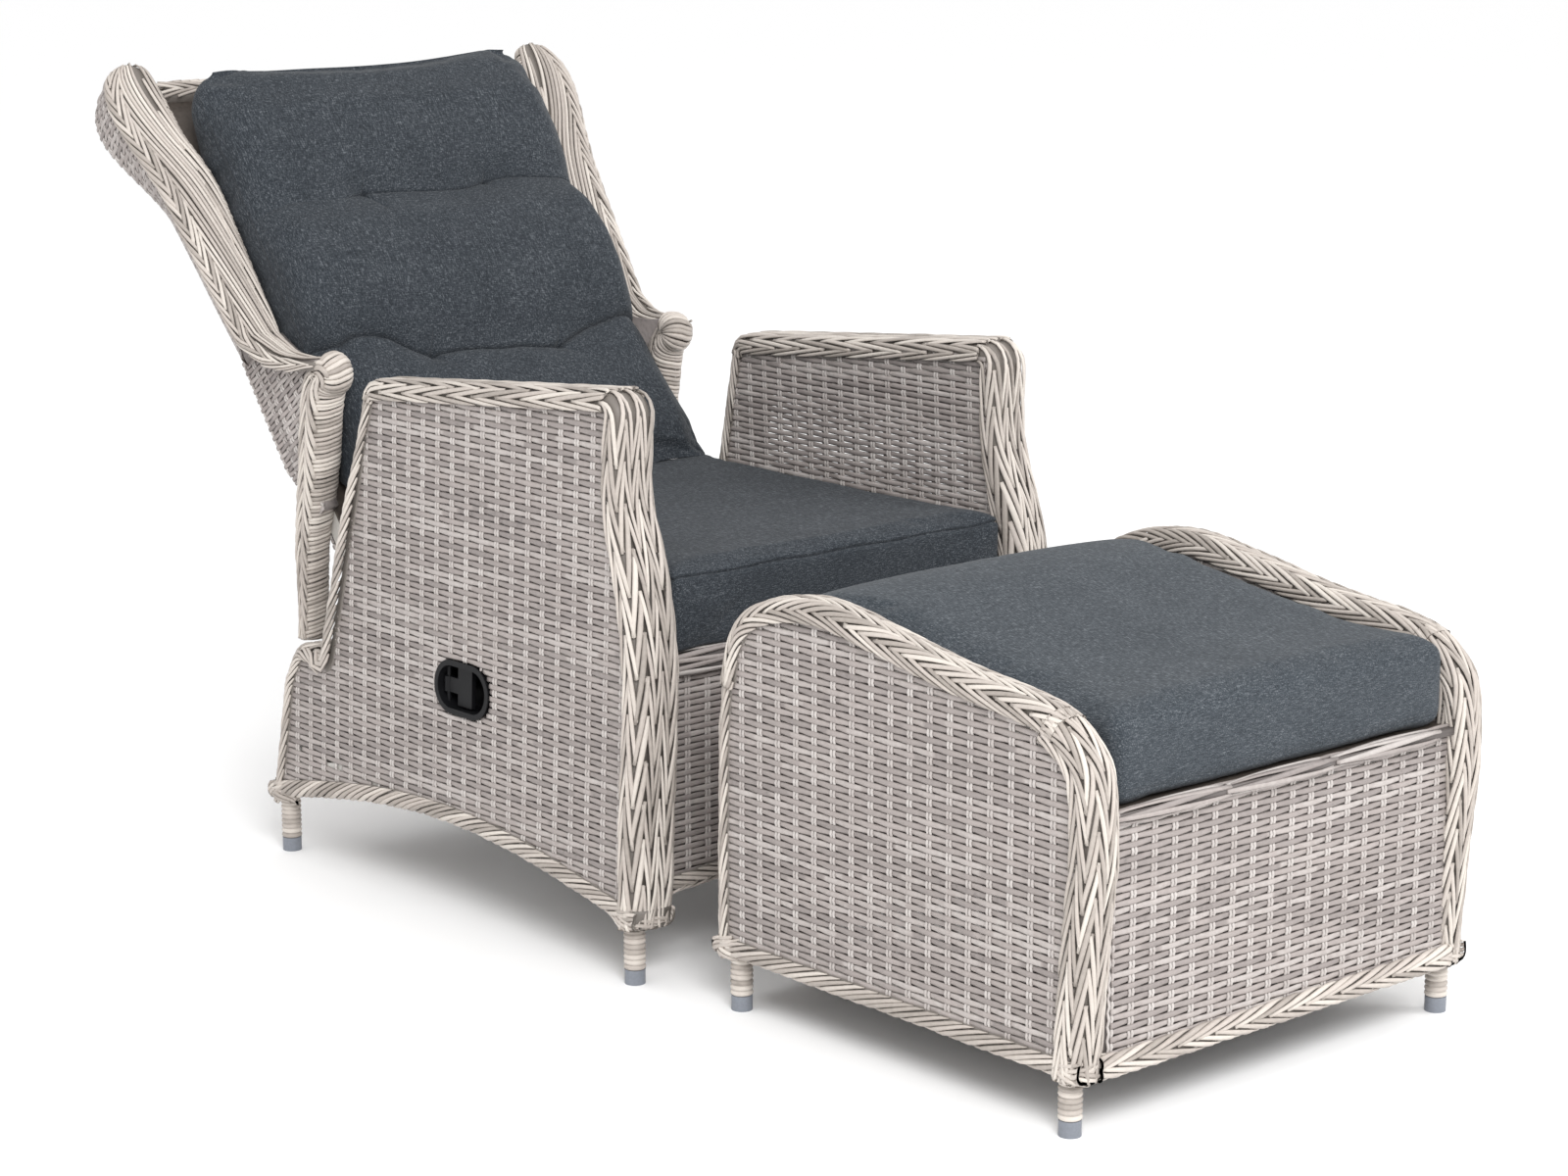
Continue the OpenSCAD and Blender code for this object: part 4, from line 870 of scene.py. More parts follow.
apron, rear_skin, apron_skirts, apron_rim = (Piece() for _ in range(4))
for skin, face, way, top, seed, back_y in ((apron, APRON_Y, -1, 362.0, 151, APRON_Y + 3.5),
                                           (rear_skin, REAR_WEAVE_Y + 4, 1, 264.0, 152, REAR_WEAVE_Y - 1.0)):
    weave(skin, apron_outline(top), across_panel(face, way), 1.5, seed=seed)
    skin.add(*plate(apron_outline(top - 4.0, 0.985), back_y, back_y + 1.5, across_panel(0.0, -1), PAINTED_GAP_SHADE))
apron.object("front_apron_panel", "base", "front_apron", WEAVE, "weave")
rear_skin.object("rear_panel", "base", "rear_weave", WEAVE, "weave")
low_path = Path([(x, low_line(x)) for x in np.linspace(-APRON_HALF, APRON_HALF, 41)], side=1)
low_section = Section(SKIRT_W, 13.0, 6.0)
for k, y in enumerate((APRON_Y, REAR_WEAVE_Y)):
    plaited(apron_skirts, low_path, low_section, across_panel(y - 5.0, -1), [1, 0.33, -0.33, -1], 64,
            SKIRT_STRAND, 161 + k)
apron_skirts.object("apron_skirt_plaits", "base", "apron_skirt_braids", PLAIT, "plait")
bar_border(apron_rim, APRON_Y - 8, APRON_Y + 4, 359.5, 385.5, 286.0, 10, RIM_LEAF, RIM_STRAND, 171)
apron_rim.object("apron_rim_woven", "base", "apron_rim_braid", WEAVE, "plait")


# Wrapped legs
def wrapped_leg(piece, x, y, top, seed, radius=13.4, low=18.0, pitch=6.4, relief=2.6):
    """A leg wound with wicker: one round of strand above the other."""
    rings = []
    angles = np.linspace(0, 2 * math.pi, 25)[:24]
    for z in np.arange(low, top, pitch / 6):
        r = radius - relief + relief * abs(math.sin(math.pi * (z - low) / pitch)) ** 0.6
        rings.append(np.stack([x + r * np.cos(angles), y + r * np.sin(angles), np.full(24, z)], -1))
    verts, loops, totals, _ = loft(rings)
    turns = ((verts[:, 2] - low) / pitch).astype(int)
    piece.add(verts, loops, totals, (np.sin(turns * 12.9898 + seed) * 43758.5453) % 1.0)


LEG_IN, STOOL_SHARE = 18, 0.83  # how far in a chair's leg stands, and a footstool's share of that
legs, s_legs = Piece(), Piece()
for sign in (-1, 1):
    for y in (FRONT_Y + 16, REAR_Y - 16):
        wrapped_leg(legs, sign * (HALF_W - LEG_IN), y, 84, sign * 3 + y)
    for y in (STOOL_FOOT_FRONT + 37.2 - 14.5, STOOL_FRONT + STOOL_DEPTH * 0.935):
        wrapped_leg(s_legs, sign * (STOOL_HALF - LEG_IN * STOOL_SHARE), y, 76, sign * 5 + y)
legs.object("chair_legs_wrapped", "base", "chair_legs", PLAIT, "plait")
s_legs.object("stool_legs_wrapped", "footstool", "stool_legs", PLAIT, "plait")

# Backrest
WING_SHARES = [(0.520, 0.506), (0.520, 0.66), (0.521, 0.772), (0.537, 0.829), (0.559, 0.875), (0.572, 0.941),
               (0.580, 0.978), (0.593, 1.002), (0.623, 1.014), (0.660, 1.009), (0.694, 0.990), (0.714, 0.959),
               (0.716, 0.923), (0.706, 0.885), (0.688, 0.835), (0.670, 0.779), (0.656, 0.698), (0.642, 0.595),
               (0.628, 0.506)]
CHEEK_FRONT = [(-0.040, 0.076), (-0.014, 0.103), (0.011, 0.132), (0.054, 0.179), (0.104, 0.222),
               (0.153, 0.265), (0.207, 0.321), (0.244, 0.353), (0.268, 0.355), (0.282, 0.366), (0.284, 0.383),
               (0.273, 0.397), (0.230, 0.423), (0.194, 0.453), (0.178, 0.480), (0.1647, 0.506)]
CHEEK_REAR = [(0.122, 0.506), (0.122, 0.445), (0.108, 0.338), (0.080, 0.248), (0.046, 0.211), (0.024, 0.190),
              (-0.014, 0.149), (-0.031, 0.118), (-0.043, 0.087)]
wing = np.array(spline([(s[0] * BACK_W, s[1] * BACK_L) for s in WING_SHARES]))
tip = int(np.argmax(wing[:, 1]))
edge_in, edge_out = wing[:tip + 1], wing[tip:][::-1]
front_edge = np.array(spline([(s[0] * BACK_L, s[1] * BACK_L) for s in CHEEK_FRONT]))
rear_edge = np.array([(s[0] * BACK_L, s[1] * BACK_L) for s in CHEEK_REAR])
ear_tip = int(np.argmax(front_edge[:, 0]))
TIP_UP, FOOT_UP = float(wing[tip, 1]), float(front_edge[-1, 1])
BAND_TOP, SKIN_TOP = TIP_UP - 1.0, TIP_UP - 14  # where the band starts, and the level its skins keep to
band_path = Path([(140.0, BAND_TOP)] + [p for p in front_edge[::-1] if p[1] >= front_edge[ear_tip, 1] + 14],
                 side=-1)
STRAIGHT = BAND_TOP - FOOT_UP
BACK_ROW, BACK_STAKE = 7.2, 24.0  # the finer weave of the wings


def edge_x(edge, up):
    order = np.argsort(edge[:, 1])
    return np.interp(up, edge[order, 1], edge[order, 0])


def band_map(sign, r=7.0, half0=45.0):
    """Strip space of a wing's band: along from its tip to the ear, across from inside to outside, up."""
    def place(s, t, h):
        up = np.clip(BAND_TOP - s, FOOT_UP, BAND_TOP)
        s = np.clip(s, -10.0, band_path.length + 3.0)
        over, foot = np.maximum(-s, 0.0), np.clip((s - STRAIGHT) / (band_path.length - STRAIGHT), 0, 1)
        xi = edge_x(edge_in, up) - 4.0 * (1 - foot)
        xo = edge_x(edge_out, up) * (1 - foot) + 318.0 * foot
        half = np.maximum((xo - xi) / 2, 4.0)
        q = t / half0 * (half - r + math.pi / 2 * r + 6.0)
        flat = np.clip(q, -(half - r), half - r)
        past = q - flat
        angle = np.clip(np.abs(past) / r, 0, math.pi / 2)
        tail = np.maximum(np.abs(past) - math.pi / 2 * r, 0)
        x = (xi + xo) / 2 + flat + np.sign(past) * (r + h) * np.sin(angle)
        deep = r - (r + h) * np.cos(angle) + tail + over
        p, n = band_path.at(np.maximum(s, 0.0))
        return on_back(sign * x, p[:, 0] + n[:, 0] * deep, p[:, 1] + n[:, 1] * deep)
    return place


# Each column of a wing's band: its two sides, leaf length, strand width and slant
BAND_COLUMNS = [(45, 33, 62, 4.2, 1), (33, 20, 70, 4.6, -1), (20, -20, 280, 5.2, 1), (-20, -34, 150, 4.8, 1),
                (-34, -45, 6, 4.2, 1)]
bands, shells = Piece(), Piece()
for k, sign in enumerate((-1, 1)):
    place = band_map(sign)
    across = np.linspace(-45, 45, 30)
    bands.add(*loft([place(np.full(30, u), across, np.full(30, -2.0))
                     for u in np.linspace(0, band_path.length, 110)], PAINTED_GAP_SHADE))
    for i, (a, b, leaf, strand, slant) in enumerate(BAND_COLUMNS):
        verts, loops, totals, tone = column(band_path.length - 4.0, abs(a - b), slant, leaf, strand,
                                            181 + 7 * k + i, steps=27 if leaf > 100 else 9)
        bands.add(place(verts[:, 0] - 1.0, a - verts[:, 1], verts[:, 2] + 0.5), loops, totals, tone)
bands.object("wing_band_plaits", "backrest", "wing_bands", PLAIT, "plait")


def shell_reach(up):
    """How far the outer skin of a wing turns inwards at its rear edge."""
    return 12.0 + 33.0 * smooth((800.0 - up) / 160.0)


def shell_map(sign):
    """The outer skin of a wing: height up the back, then round from the band's outer edge to the rear."""
    def place(up, u, d):
        level = np.minimum(up, SKIN_TOP)
        share = np.clip(u / 80.0, 0, 1)
        drop = shell_reach(up) * share ** 1.3
        x = np.maximum(edge_x(edge_out, level) - 3 - drop, edge_x(edge_in, level) + 3) - d * 0.9
        return on_back(sign * x, 129.0 - 68.0 * share + d * 0.4, up)
    return place


def inside_map(sign):
    """The inner skin of a wing, beside the cushion."""
    def place(up, ahead, d):
        return on_back(sign * (edge_x(edge_in, np.minimum(up, SKIN_TOP)) + d), ahead, up)
    return place


def rear_map(sign):
    """The rear edge of a wing, between its two skins."""
    def place(up, u, d):
        level = np.minimum(up, SKIN_TOP)
        x_in = edge_x(edge_in, level) + 1.0
        x_out = np.maximum(edge_x(edge_out, level) - 5 - shell_reach(up), x_in + 1)
        return on_back(sign * (x_in + (x_out - x_in) * u / 48.0), 60.0 + d, up)
    return place


for k, sign in enumerate((-1, 1)):
    for skin_map, top, u0, u1, seed in (
            (rear_map, TIP_UP - 16, 0.0, 48.0, 208), (shell_map, TIP_UP - 8, 0.0, 80.0, 201),
            (inside_map, TIP_UP - 16, 61.0, 133.0, 205)):
        weave(shells, rectangle(426.0, top, u0, u1), skin_map(sign), 0.0, seed=seed + k, row=BACK_ROW,
              stake=BACK_STAKE, turned=True)
    rings = []
    share = np.linspace(0, 1, 12)
    for up in np.linspace(424.0, TIP_UP - 12, 60):
        level = min(up, SKIN_TOP)
        xo, xi = float(edge_x(edge_out, level)), float(edge_x(edge_in, level))
        outer_x = np.maximum(xo - 6 - float(shell_reach(up)) * share ** 1.3, xi + 3)
        ring_x = np.concatenate([outer_x, [xi + 2, xi + 2]])
        ring_a = np.concatenate([129.0 - 68.0 * share, [61.0, 129.0]])
        rings.append(on_back(sign * ring_x, ring_a, np.full(14, up)))
    shells.add(*loft(rings, 0.0))
shells.object("wing_shell_weaves", "backrest", "wing_shells", WEAVE, "weave")


def back_face(ahead):
    """The rear face of the back: across, up, and depth ahead of it."""
    def place(x, up, d):
        return on_back(x, ahead + d, up)
    return place


def back_profile(sign, x0=0.0):
    """A side view of the back: ahead, up, and depth inwards from a width."""
    def place(ahead, up, d):
        return on_back(sign * (x0 - d), ahead, up)
    return place


rear_back, top_bar, cheeks, ears = (Piece() for _ in range(4))
weave(rear_back, rectangle(-BACK_W / 2 - 2, BACK_W / 2 + 2, 132, 830), back_face(57.0), 1.5, seed=211)
rear_back.add(*plate(rectangle(-BACK_W / 2, BACK_W / 2, 131, 828), 4.0, 6.0, back_face(57.0), PAINTED_GAP_SHADE))
rear_back.object("back_rear_panel", "backrest", "back_rear_weave", WEAVE, "weave")

for length, width, leaf, seed, starts, face in (
        (540.0, 17.0, 46, 221, (59.0, 76.0, 93.0), lambda t, h: (t, 848.5 + h)),
        (540.0, 12.0, 40, 231, (825.0, 837.0), lambda t, h: (60.0 - h, t)),
        (560.0, 11.0, 60, 235, (826.0, 837.0), lambda t, h: (110.0 + h, t))):
    for i, start in enumerate(starts):
        verts, loops, totals, tone = column(length, width, (-1) ** i, leaf, 4.6, seed + i)
        ahead, up = face(start + verts[:, 1], verts[:, 2])
        top_bar.add(on_back(verts[:, 0] - length / 2, ahead, up), loops, totals, tone)
top_bar.add(*plate(rectangle(61, 109, 826, 847), -BACK_W / 2, BACK_W / 2, back_profile(-1), PAINTED_GAP_SHADE))
top_bar.object("back_top_plait", "backrest", "back_top_braid", PLAIT, "plait")


# Lower wings
def ear_swell(s, t):
    """The wound post is fuller at the ear than at its lower end."""
    high = smooth((s - 120.0) / 160.0)
    return 1.0 + 5.0 * high * smooth((t + 40.0) / 30.0)


def post_share(s):
    """The wound post is only about half as wide at its lower end."""
    return 0.42 + 0.58 * smooth((s + 10.0) / 200.0)


CHEEK_X, CHEEK_T, WOUND = 303.0, 32.0, 0.36
cheek_outline = np.concatenate([front_edge, rear_edge])
post_skin = [(57.0, 262.0), (84.0, 186.0), (106.0, 186.0), (106.0, 432.0), (57.0, 432.0)]
cheek_path = Path(front_edge[:ear_tip + 8], side=1)
cheek_section = Section(CHEEK_T, CHEEK_T, 11.0)
# Each band of a post: its columns, leaf, strand, seed and the rest
POST_BANDS = (([1, 0.68, WOUND], 62, 4.6, 251, {"lift": 1.5, "swell": ear_swell}),
              ([WOUND, -0.7], 14, 5.6, 255, {"steps": 15, "thick": 4.6, "rise": 2.4, "swell": ear_swell}),
              ([-0.7, -1], 50, 4.4, 259, {}))
for k, sign in enumerate((-1, 1)):
    for outline, x0, depth, margin, seed, near, far in (
            (cheek_outline, CHEEK_X, 1.0, 4.0, 241, 5.0, 29.0),
            (post_skin, CHEEK_X - 9.0, 0.0, 0.0, 245, 3.0, 22.0)):
        place = back_profile(sign, x0)
        weave(cheeks, outline, place, depth, margin=margin, seed=seed + k, row=BACK_ROW, stake=BACK_STAKE)
        cheeks.add(*plate(outline, near, far, place, 0.0))
    place = back_profile(sign, CHEEK_X)
    core(ears, cheek_path, cheek_section, place, share=post_share)
    for shares, leaf, strand, seed, plait in POST_BANDS:
        bounds = [cheek_section.half * part for part in shares]
        border(ears, cheek_path, cheek_section, place, bounds, leaf, strand, seed + k, share=post_share,
               **plait)
    verts, loops, totals, tone = column(236.0, CHEEK_T, 1, 12, 5.6, 271 + k, thick=4.4, steps=11)
    base, inward = cheek_path.at(np.clip(verts[:, 0], 0.0, 240.0))
    flat = base + inward * (CHEEK_T * post_share(verts[:, 0]) + verts[:, 2] - 1.0)[:, None]
    ears.add(place(flat[:, 0], flat[:, 1], np.clip(verts[:, 1], 0.5, 31.5)), loops, totals, tone)
cheeks.object("cheek_panels", "backrest", "cheek_weaves", WEAVE, "weave")
ears.object("wing_post_plaits", "backrest", "wing_posts", PLAIT, "plait")


# Cushions
def boxed(length, half, low, high, radius, place, pull=5.0, step=7.0):
    """A boxed cushion in rings along its length; half, low and high give its half width, foot and top."""
    ends = radius * (1 - np.cos(np.linspace(0.12, math.pi / 2, 6)))
    along = np.concatenate([ends[:-1], np.arange(radius, length - radius, step), (length - ends)[::-1]])
    rings = []
    for v in along:
        near = min(v, length - v)
        inset = radius - math.sqrt(max(radius ** 2 - max(radius - near, 0) ** 2, 0.0))
        w = half(v) - inset - pull * math.sin(math.pi * v / length)
        z0, z1 = low(v) + inset, high(v) - inset
        r = max(min(radius - inset, (z1 - z0) / 2 - 1), 2.0)
        k = np.linspace(0, math.pi / 2, 6)
        corner = np.stack([np.sin(k), -np.cos(k)], -1) * r
        right = np.concatenate([corner + [w - r, z0 + r],
                                np.stack([np.full(8, w), np.linspace(z0 + r, z1 - r, 10)[1:-1]], -1),
                                corner[::-1] * [1, -1] + [w - r, z1 - r]])
        across = np.linspace(w - r, r - w, 60)[1:-1]
        ring = np.concatenate([right, np.stack([across, np.full(58, z1)], -1), right[::-1] * [-1, 1],
                               np.stack([across[::-1], np.full(58, z0)], -1)])
        rise = 1 - (1 - near / 40) ** 2 if near < 40 else 1.0
        crown = np.where(ring[:, 1] > (z0 + z1) / 2, 1.0, 0.0) * (1 - (ring[:, 0] / w) ** 2) * rise
        rings.append(place(ring[:, 0], np.full(len(ring), v), ring[:, 1] + 6.0 * crown))
    return rings


def inflate(thing, cap, pressure=4.0, last_frame=20):
    """Lets a cloth be pushed outwards by its filling, no point of it further than the cap."""
    mesh = thing.data
    first = places_of(mesh)
    cloth = thing.modifiers.new("cloth", "CLOTH")
    facts = cloth.settings
    facts.quality, facts.use_pressure, facts.uniform_pressure_force = 4, True, pressure
    facts.tension_stiffness = facts.compression_stiffness = 12.0
    facts.bending_stiffness, facts.mass = 0.6, 0.3
    facts.effector_weights.gravity = 0.0
    cloth.collision_settings.use_collision = False
    cloth.point_cache.frame_start, cloth.point_cache.frame_end = 1, last_frame
    for number in range(1, last_frame + 1):
        scene.frame_set(number)
    held = thing.evaluated_get(bpy.context.evaluated_depsgraph_get())
    move = places_of(held.to_mesh()) - first
    held.to_mesh_clear()
    far = np.linalg.norm(move, axis=1)[:, None]
    last = first + move * np.minimum(1.0, cap * 0.001 / np.maximum(far, 1e-9))
    thing.modifiers.clear()
    mesh.vertices.foreach_set("co", last.ravel())
    scene.frame_set(1)


def puffed(rings, cap, fine_at=None, voxel=6.0):
    """The boxed form as inflated cloth.

    fine_at marks the places, near seams and creases, where the cloth needs a finer mesh."""
    mesh = bpy.data.meshes.new("cloth")
    verts, loops, totals, _ = loft(rings)
    mesh.from_pydata((verts * 0.001).tolist(), [],
                     [loops[i:i + t].tolist() for i, t in zip(starts_of(totals), totals)])
    thing = linked("cloth", mesh)
    shell = bmesh.new()
    shell.from_mesh(mesh)
    bmesh.ops.recalc_face_normals(shell, faces=shell.faces)
    shell.to_mesh(mesh)
    shell.free()
    remesh = thing.modifiers.new("remesh", "REMESH")
    remesh.mode, remesh.voxel_size = "VOXEL", voxel * 0.001
    even = baked(thing)
    thing.modifiers.clear()
    thing.data = even
    inflate(thing, cap)
    finer = thing.modifiers.new("finer", "SUBSURF")
    finer.levels = finer.render_levels = 1
    fine = baked(thing)
    if fine_at:
        shell = bmesh.new()
        shell.from_mesh(fine)
        near = fine_at(np.array([point.co[:] for point in shell.verts]) * 1000)
        edges = [edge for edge in shell.edges if near[edge.verts[0].index] and near[edge.verts[1].index]]
        bmesh.ops.subdivide_edges(shell, edges=edges, cuts=2, use_grid_fill=True)
        shell.to_mesh(fine)
        shell.free()
    verts, loops, totals = arrays_of(fine)
    bpy.data.objects.remove(thing)
    for used in (mesh, even, fine):
        bpy.data.meshes.remove(used)
    return verts * 1000, loops, totals


def groove(distance, deep, width):
    """The depth of a sewn line or sharp crease at a distance from it."""
    return deep * np.exp(-np.abs(distance) / width)


def dent(distance, deep, width):
    """The depth of a soft hollow at a distance from its middle."""
    return deep * np.exp(-(distance / width) ** 2)


def folds(x, y, lines):
    """The depth of short folds, each from one place to another with a depth and a width."""
    out = np.zeros(len(x))
    for x0, y0, x1, y1, deep, width in lines:
        run = math.hypot(x1 - x0, y1 - y0)
        along = ((x - x0) * (x1 - x0) + (y - y0) * (y1 - y0)) / run
        aside = ((x - x0) * (y1 - y0) - (y - y0) * (x1 - x0)) / run
        share = np.clip(along / run, 0, 1)
        out += dent(np.hypot(aside, along - share * run), deep, width) * (1 - 0.6 * share)
    return out


def cushion(name, body, node, arrays, cloth):
    verts, loops, totals = arrays
    piece = Piece()
    piece.add(verts, loops, totals, np.full(len(verts), 0.5))
    piece.object(name, body, node, cloth, "fabric")


# Seat cushion: x across, v from its front, c up
PAD_HALF, PAD_FRONT, PAD_Z, PAD_L, PAD_T = 279.7, FRONT_Y + 15.0, 386.3, 607.0, 104.0


def seat_layout(verts):
    """The seat cushion's own layout, the room to its nearest side, and the distance from its top seam."""
    x, v, c = verts[:, 0], verts[:, 1] - PAD_FRONT, verts[:, 2] - PAD_Z
    edge = np.minimum(np.minimum(v, PAD_L - v), PAD_HALF - np.abs(x))
    return x, v, c, edge, PAD_T - 1.0 - c - edge


def near_seat_seam(verts):
    x, v, c, edge, off = seat_layout(verts)
    return (np.abs(off) < 7.0) & (edge < 16.0) & (v < PAD_L / 2)


verts, loops, totals = puffed(boxed(
    PAD_L - 6, lambda v: PAD_HALF - 4.0, lambda v: 2.0, lambda v: PAD_T - 6.0, 9.0,
    lambda x, v, c: np.stack([x, PAD_FRONT + (v + 3.0), PAD_Z + c], -1)), 7.0, near_seat_seam)
x, v, c, edge, off = seat_layout(verts)
seam = groove(off, 4.2, 1.7) * smooth((18.0 - edge) / 6.0)
verts[:, 2] -= seam * 0.5
pleats = np.sin(x / 2.5 + 1.4 * np.sin(x / 23.0)) * dent(off - 12.0, 0.9, 9.0) * smooth((x + 60.0) / 240.0)
seam = seam + groove(c - 12.0, 2.0, 2.2) * smooth((16.0 - edge) / 8.0) + pleats * smooth((12.0 - v) / 6.0)
ripple = 0.9 * np.sin(x / 21.0 + 2.2 * np.sin(v / 60.0)) * dent(v - 14.0, 1.0, 22.0) * smooth((c - 55) / 30)
verts[:, 1] += np.where(v < PAD_L / 2, 1, -1) * seam * smooth((30.0 - np.minimum(v, PAD_L - v)) / 15.0)
verts[:, 0] -= np.sign(x) * seam * smooth((30.0 - (PAD_HALF - np.abs(x))) / 15.0)
verts[:, 2] += ripple
verts[:, 0] = np.clip(verts[:, 0], -PAD_HALF - 4, PAD_HALF + 4)
verts[:, 2] = np.clip(verts[:, 2], PAD_Z, PAD_Z + PAD_T + 3.0)
under_back = verts[:, 1] > PAD_FRONT + 240
verts[under_back, 2] = np.minimum(verts[under_back, 2], PAD_Z + PAD_T)
cushion("seat_pad", "base", "seat_cushion", (verts, loops, totals), CLOTH)

# Back cushion: x across, u up the back, a ahead of the hinge line; thickness along it in shares
BACK_HALF, BACK_LOW, BACK_PAD_L, BACK_T, BACK_SKIN = 268.0, 137.0, 690.0, 106.0, 92.0
BACK_EARLY = 66.0  # how far below its foot the unshaped cushion starts
THICKNESS = [(-70, 1.34), (0, 1.40), (60, 1.33), (120, 1.22), (165, 1.12), (195, 1.07), (222, 1.03),
             (256, 1.12), (310, 1.21), (360, 1.23), (410, 1.16), (440, 1.07), (466, 1.02), (495, 1.08),
             (540, 1.14), (600, 1.14), (640, 1.03), (675, 0.97), (690, 0.95)]
TOP_SLOPE = [(585, 0), (622, 15), (646, 31), (670, 46), (684, 59), (690, 62)]
TUFT_X = (-103.0, 105.0)
LOW_CREASE = [(-268, 243), (-241, 238), (-221, 245), (-197, 246), (-167, 239), (-143, 225), (-124, 214),
              (-103, 206), (-89, 208), (-43, 208), (7, 203), (40, 203), (72, 198), (105, 197), (120, 203),
              (160, 218), (209, 229), (248, 235), (268, 229)]
HIGH_CREASE = [(-268, 460), (-229, 458), (-170, 454), (-138, 456), (-103, 464), (-45, 461), (12, 457),
               (65, 457), (105, 466), (142, 467), (197, 462), (245, 458), (268, 456)]
# Each short fold: where it starts, where it ends, its depth and width
FOLDS = [(-101, 462, -87, 434, 5.0, 3.6), (-88, 436, -89, 410, 2.2, 5.0), (-103, 464, -96, 492, 2.6, 2.2),
         (-103, 464, -135, 478, 2.0, 6.0), (105, 466, 107, 486, 2.8, 2.4), (105, 466, 140, 482, 1.8, 6.0),
         (105, 466, 80, 436, 1.8, 6.0), (-103, 206, -95, 238, 3.6, 2.6), (-103, 206, -82, 182, 3.0, 6.0),
         (-103, 206, -126, 178, 2.6, 7.0), (105, 197, 112, 224, 3.6, 2.6), (105, 197, 128, 172, 3.0, 6.0),
         (105, 197, 84, 174, 2.6, 7.0), (-268, 222, -222, 240, 4.0, 4.0), (-232, 262, -196, 250, 3.6, 4.0),
         (-268, 452, -205, 456, 3.4, 5.0), (-262, 470, -228, 492, 2.0, 6.0), (262, 222, 228, 246, 3.0, 5.0),
         (262, 446, 228, 470, 2.0, 6.0), (-258, 20, -225, 48, 3.0, 6.0), (-260, -8, -220, 10, 4.0, 6.0),
         (258, 20, 232, 52, 3.6, 4.0), (262, -6, 226, 14, 4.6, 4.0), (250, 40, 236, 6, 3.0, 3.6),
         (-250, 60, -200, 62, 2.0, 7.0)]


def line_at(x, line):
    return np.interp(x, *np.array(spline(line)).T)


def table_at(v, table):
    return float(np.interp(v, *np.array(table).T))


def back_place(x, v, a):
    """A place in the back cushion, kept above the seat cushion."""
    a = BACK_SKIN + a
    lowest = (491.3 - HINGE_Z - a * math.sin(RECLINE)) / math.cos(RECLINE)
    return on_back(x, a, np.maximum(BACK_LOW + v - BACK_EARLY, lowest))


def back_layout(verts):
    """The back cushion's own layout: across, up from its foot, ahead of the hinge line."""
    dy, dz = verts[:, 1] - HINGE_Y, verts[:, 2] - HINGE_Z
    return (verts[:, 0], dy * math.sin(RECLINE) + dz * math.cos(RECLINE) - BACK_LOW,
            -dy * math.cos(RECLINE) + dz * math.sin(RECLINE))


def near_crease(verts):
    x, u, a = back_layout(verts)
    near = np.minimum(np.abs(u - line_at(x, LOW_CREASE)), np.abs(u - line_at(x, HIGH_CREASE))) < 10.0
    for tuft in TUFT_X:
        for line in (LOW_CREASE, HIGH_CREASE):
            near |= np.hypot(x - tuft, u - float(line_at(tuft, line)) - 12.0) < 26.0
    return near & (a > BACK_SKIN + 45.0)


verts, loops, totals = puffed(boxed(
    BACK_PAD_L + 60, lambda v: BACK_HALF + 6.0 + 13.0 * smooth((v - 160) / 160),
    lambda v: 2.0 + table_at(v - BACK_EARLY, TOP_SLOPE),  # its rear slopes away from the back's top plait
    lambda v: BACK_T * table_at(v - BACK_EARLY, THICKNESS) - 9.0,
    40.0, back_place, pull=3.0), 8.0, near_crease)
x, u, a = back_layout(verts)
none = np.zeros(len(x))
rest = np.maximum(BACK_SKIN + 0.5 - a, 0.0)  # its rear face lies flat on the woven skin
verts += np.stack([none, -rest * math.cos(RECLINE), rest * math.sin(RECLINE)], -1)
front = smooth((a - BACK_SKIN - 30.0) / 35.0)
fade_high = 1.0 - 0.8 * smooth((TUFT_X[0] - 6.0 - x) / 45.0)
down_low, down_high = u - line_at(x, LOW_CREASE), u - line_at(x, HIGH_CREASE)
sink = groove(down_low, 6.5, 6.0) + groove(down_low, 4.5, 1.6) + dent(down_low, 5.0, 28.0)
sink += (groove(down_high, 2.0, 6.0) + groove(down_high, 4.2, 1.6)) * fade_high
sink += dent(down_high, 6.5, 27.0) * (0.45 + 0.55 * fade_high)
for tuft in TUFT_X:
    for line, deep in ((LOW_CREASE, 3.5), (HIGH_CREASE, 4.5)):
        spot = float(line_at(tuft, line))
        sink += deep * np.exp(-(((x - tuft) / 30.0) ** 2 + ((u - spot) / 24.0) ** 2))
        sink += groove(np.hypot(x - tuft, u - spot), 2.6, 3.2)
sink += folds(x, u, FOLDS)
sink += 0.8 * np.sin(x / 33.0 + 1.7 * np.sin(u / 47.0)) * np.sin(u / 71.0 + 1.3 * np.sin(x / 58.0))
verts += np.stack([none, sink * front * math.cos(RECLINE), -sink * front * math.sin(RECLINE)], -1)
wide = BACK_HALF + 10.0 + 13.0 * smooth((u - 94) / 160)
deep_share = (a - BACK_SKIN) / 96.0
from_welt = (deep_share - 0.80) * 96.0
welt = dent(from_welt, 2.2, 3.2) - dent(from_welt, 1.6, 9.0)
tucks = 1.8 * np.sin(u / 9.0 + 2.0 * np.sin(u / 41.0)) * dent(deep_share - 0.45, 1.0, 0.3)
verts[:, 0] += np.sign(x) * (welt + tucks - 1.0) * smooth((26.0 - (wide - np.abs(x))) / 14.0)
verts[:, 0] = np.clip(verts[:, 0], -wide - 2, wide + 2)
stretch = 14.0 * smooth(x / 250.0) * (np.clip(u, 0, 700) / BACK_PAD_L) ** 2
verts += np.stack([np.full(len(x), 6.0), stretch * math.sin(RECLINE), stretch * math.cos(RECLINE)], -1)
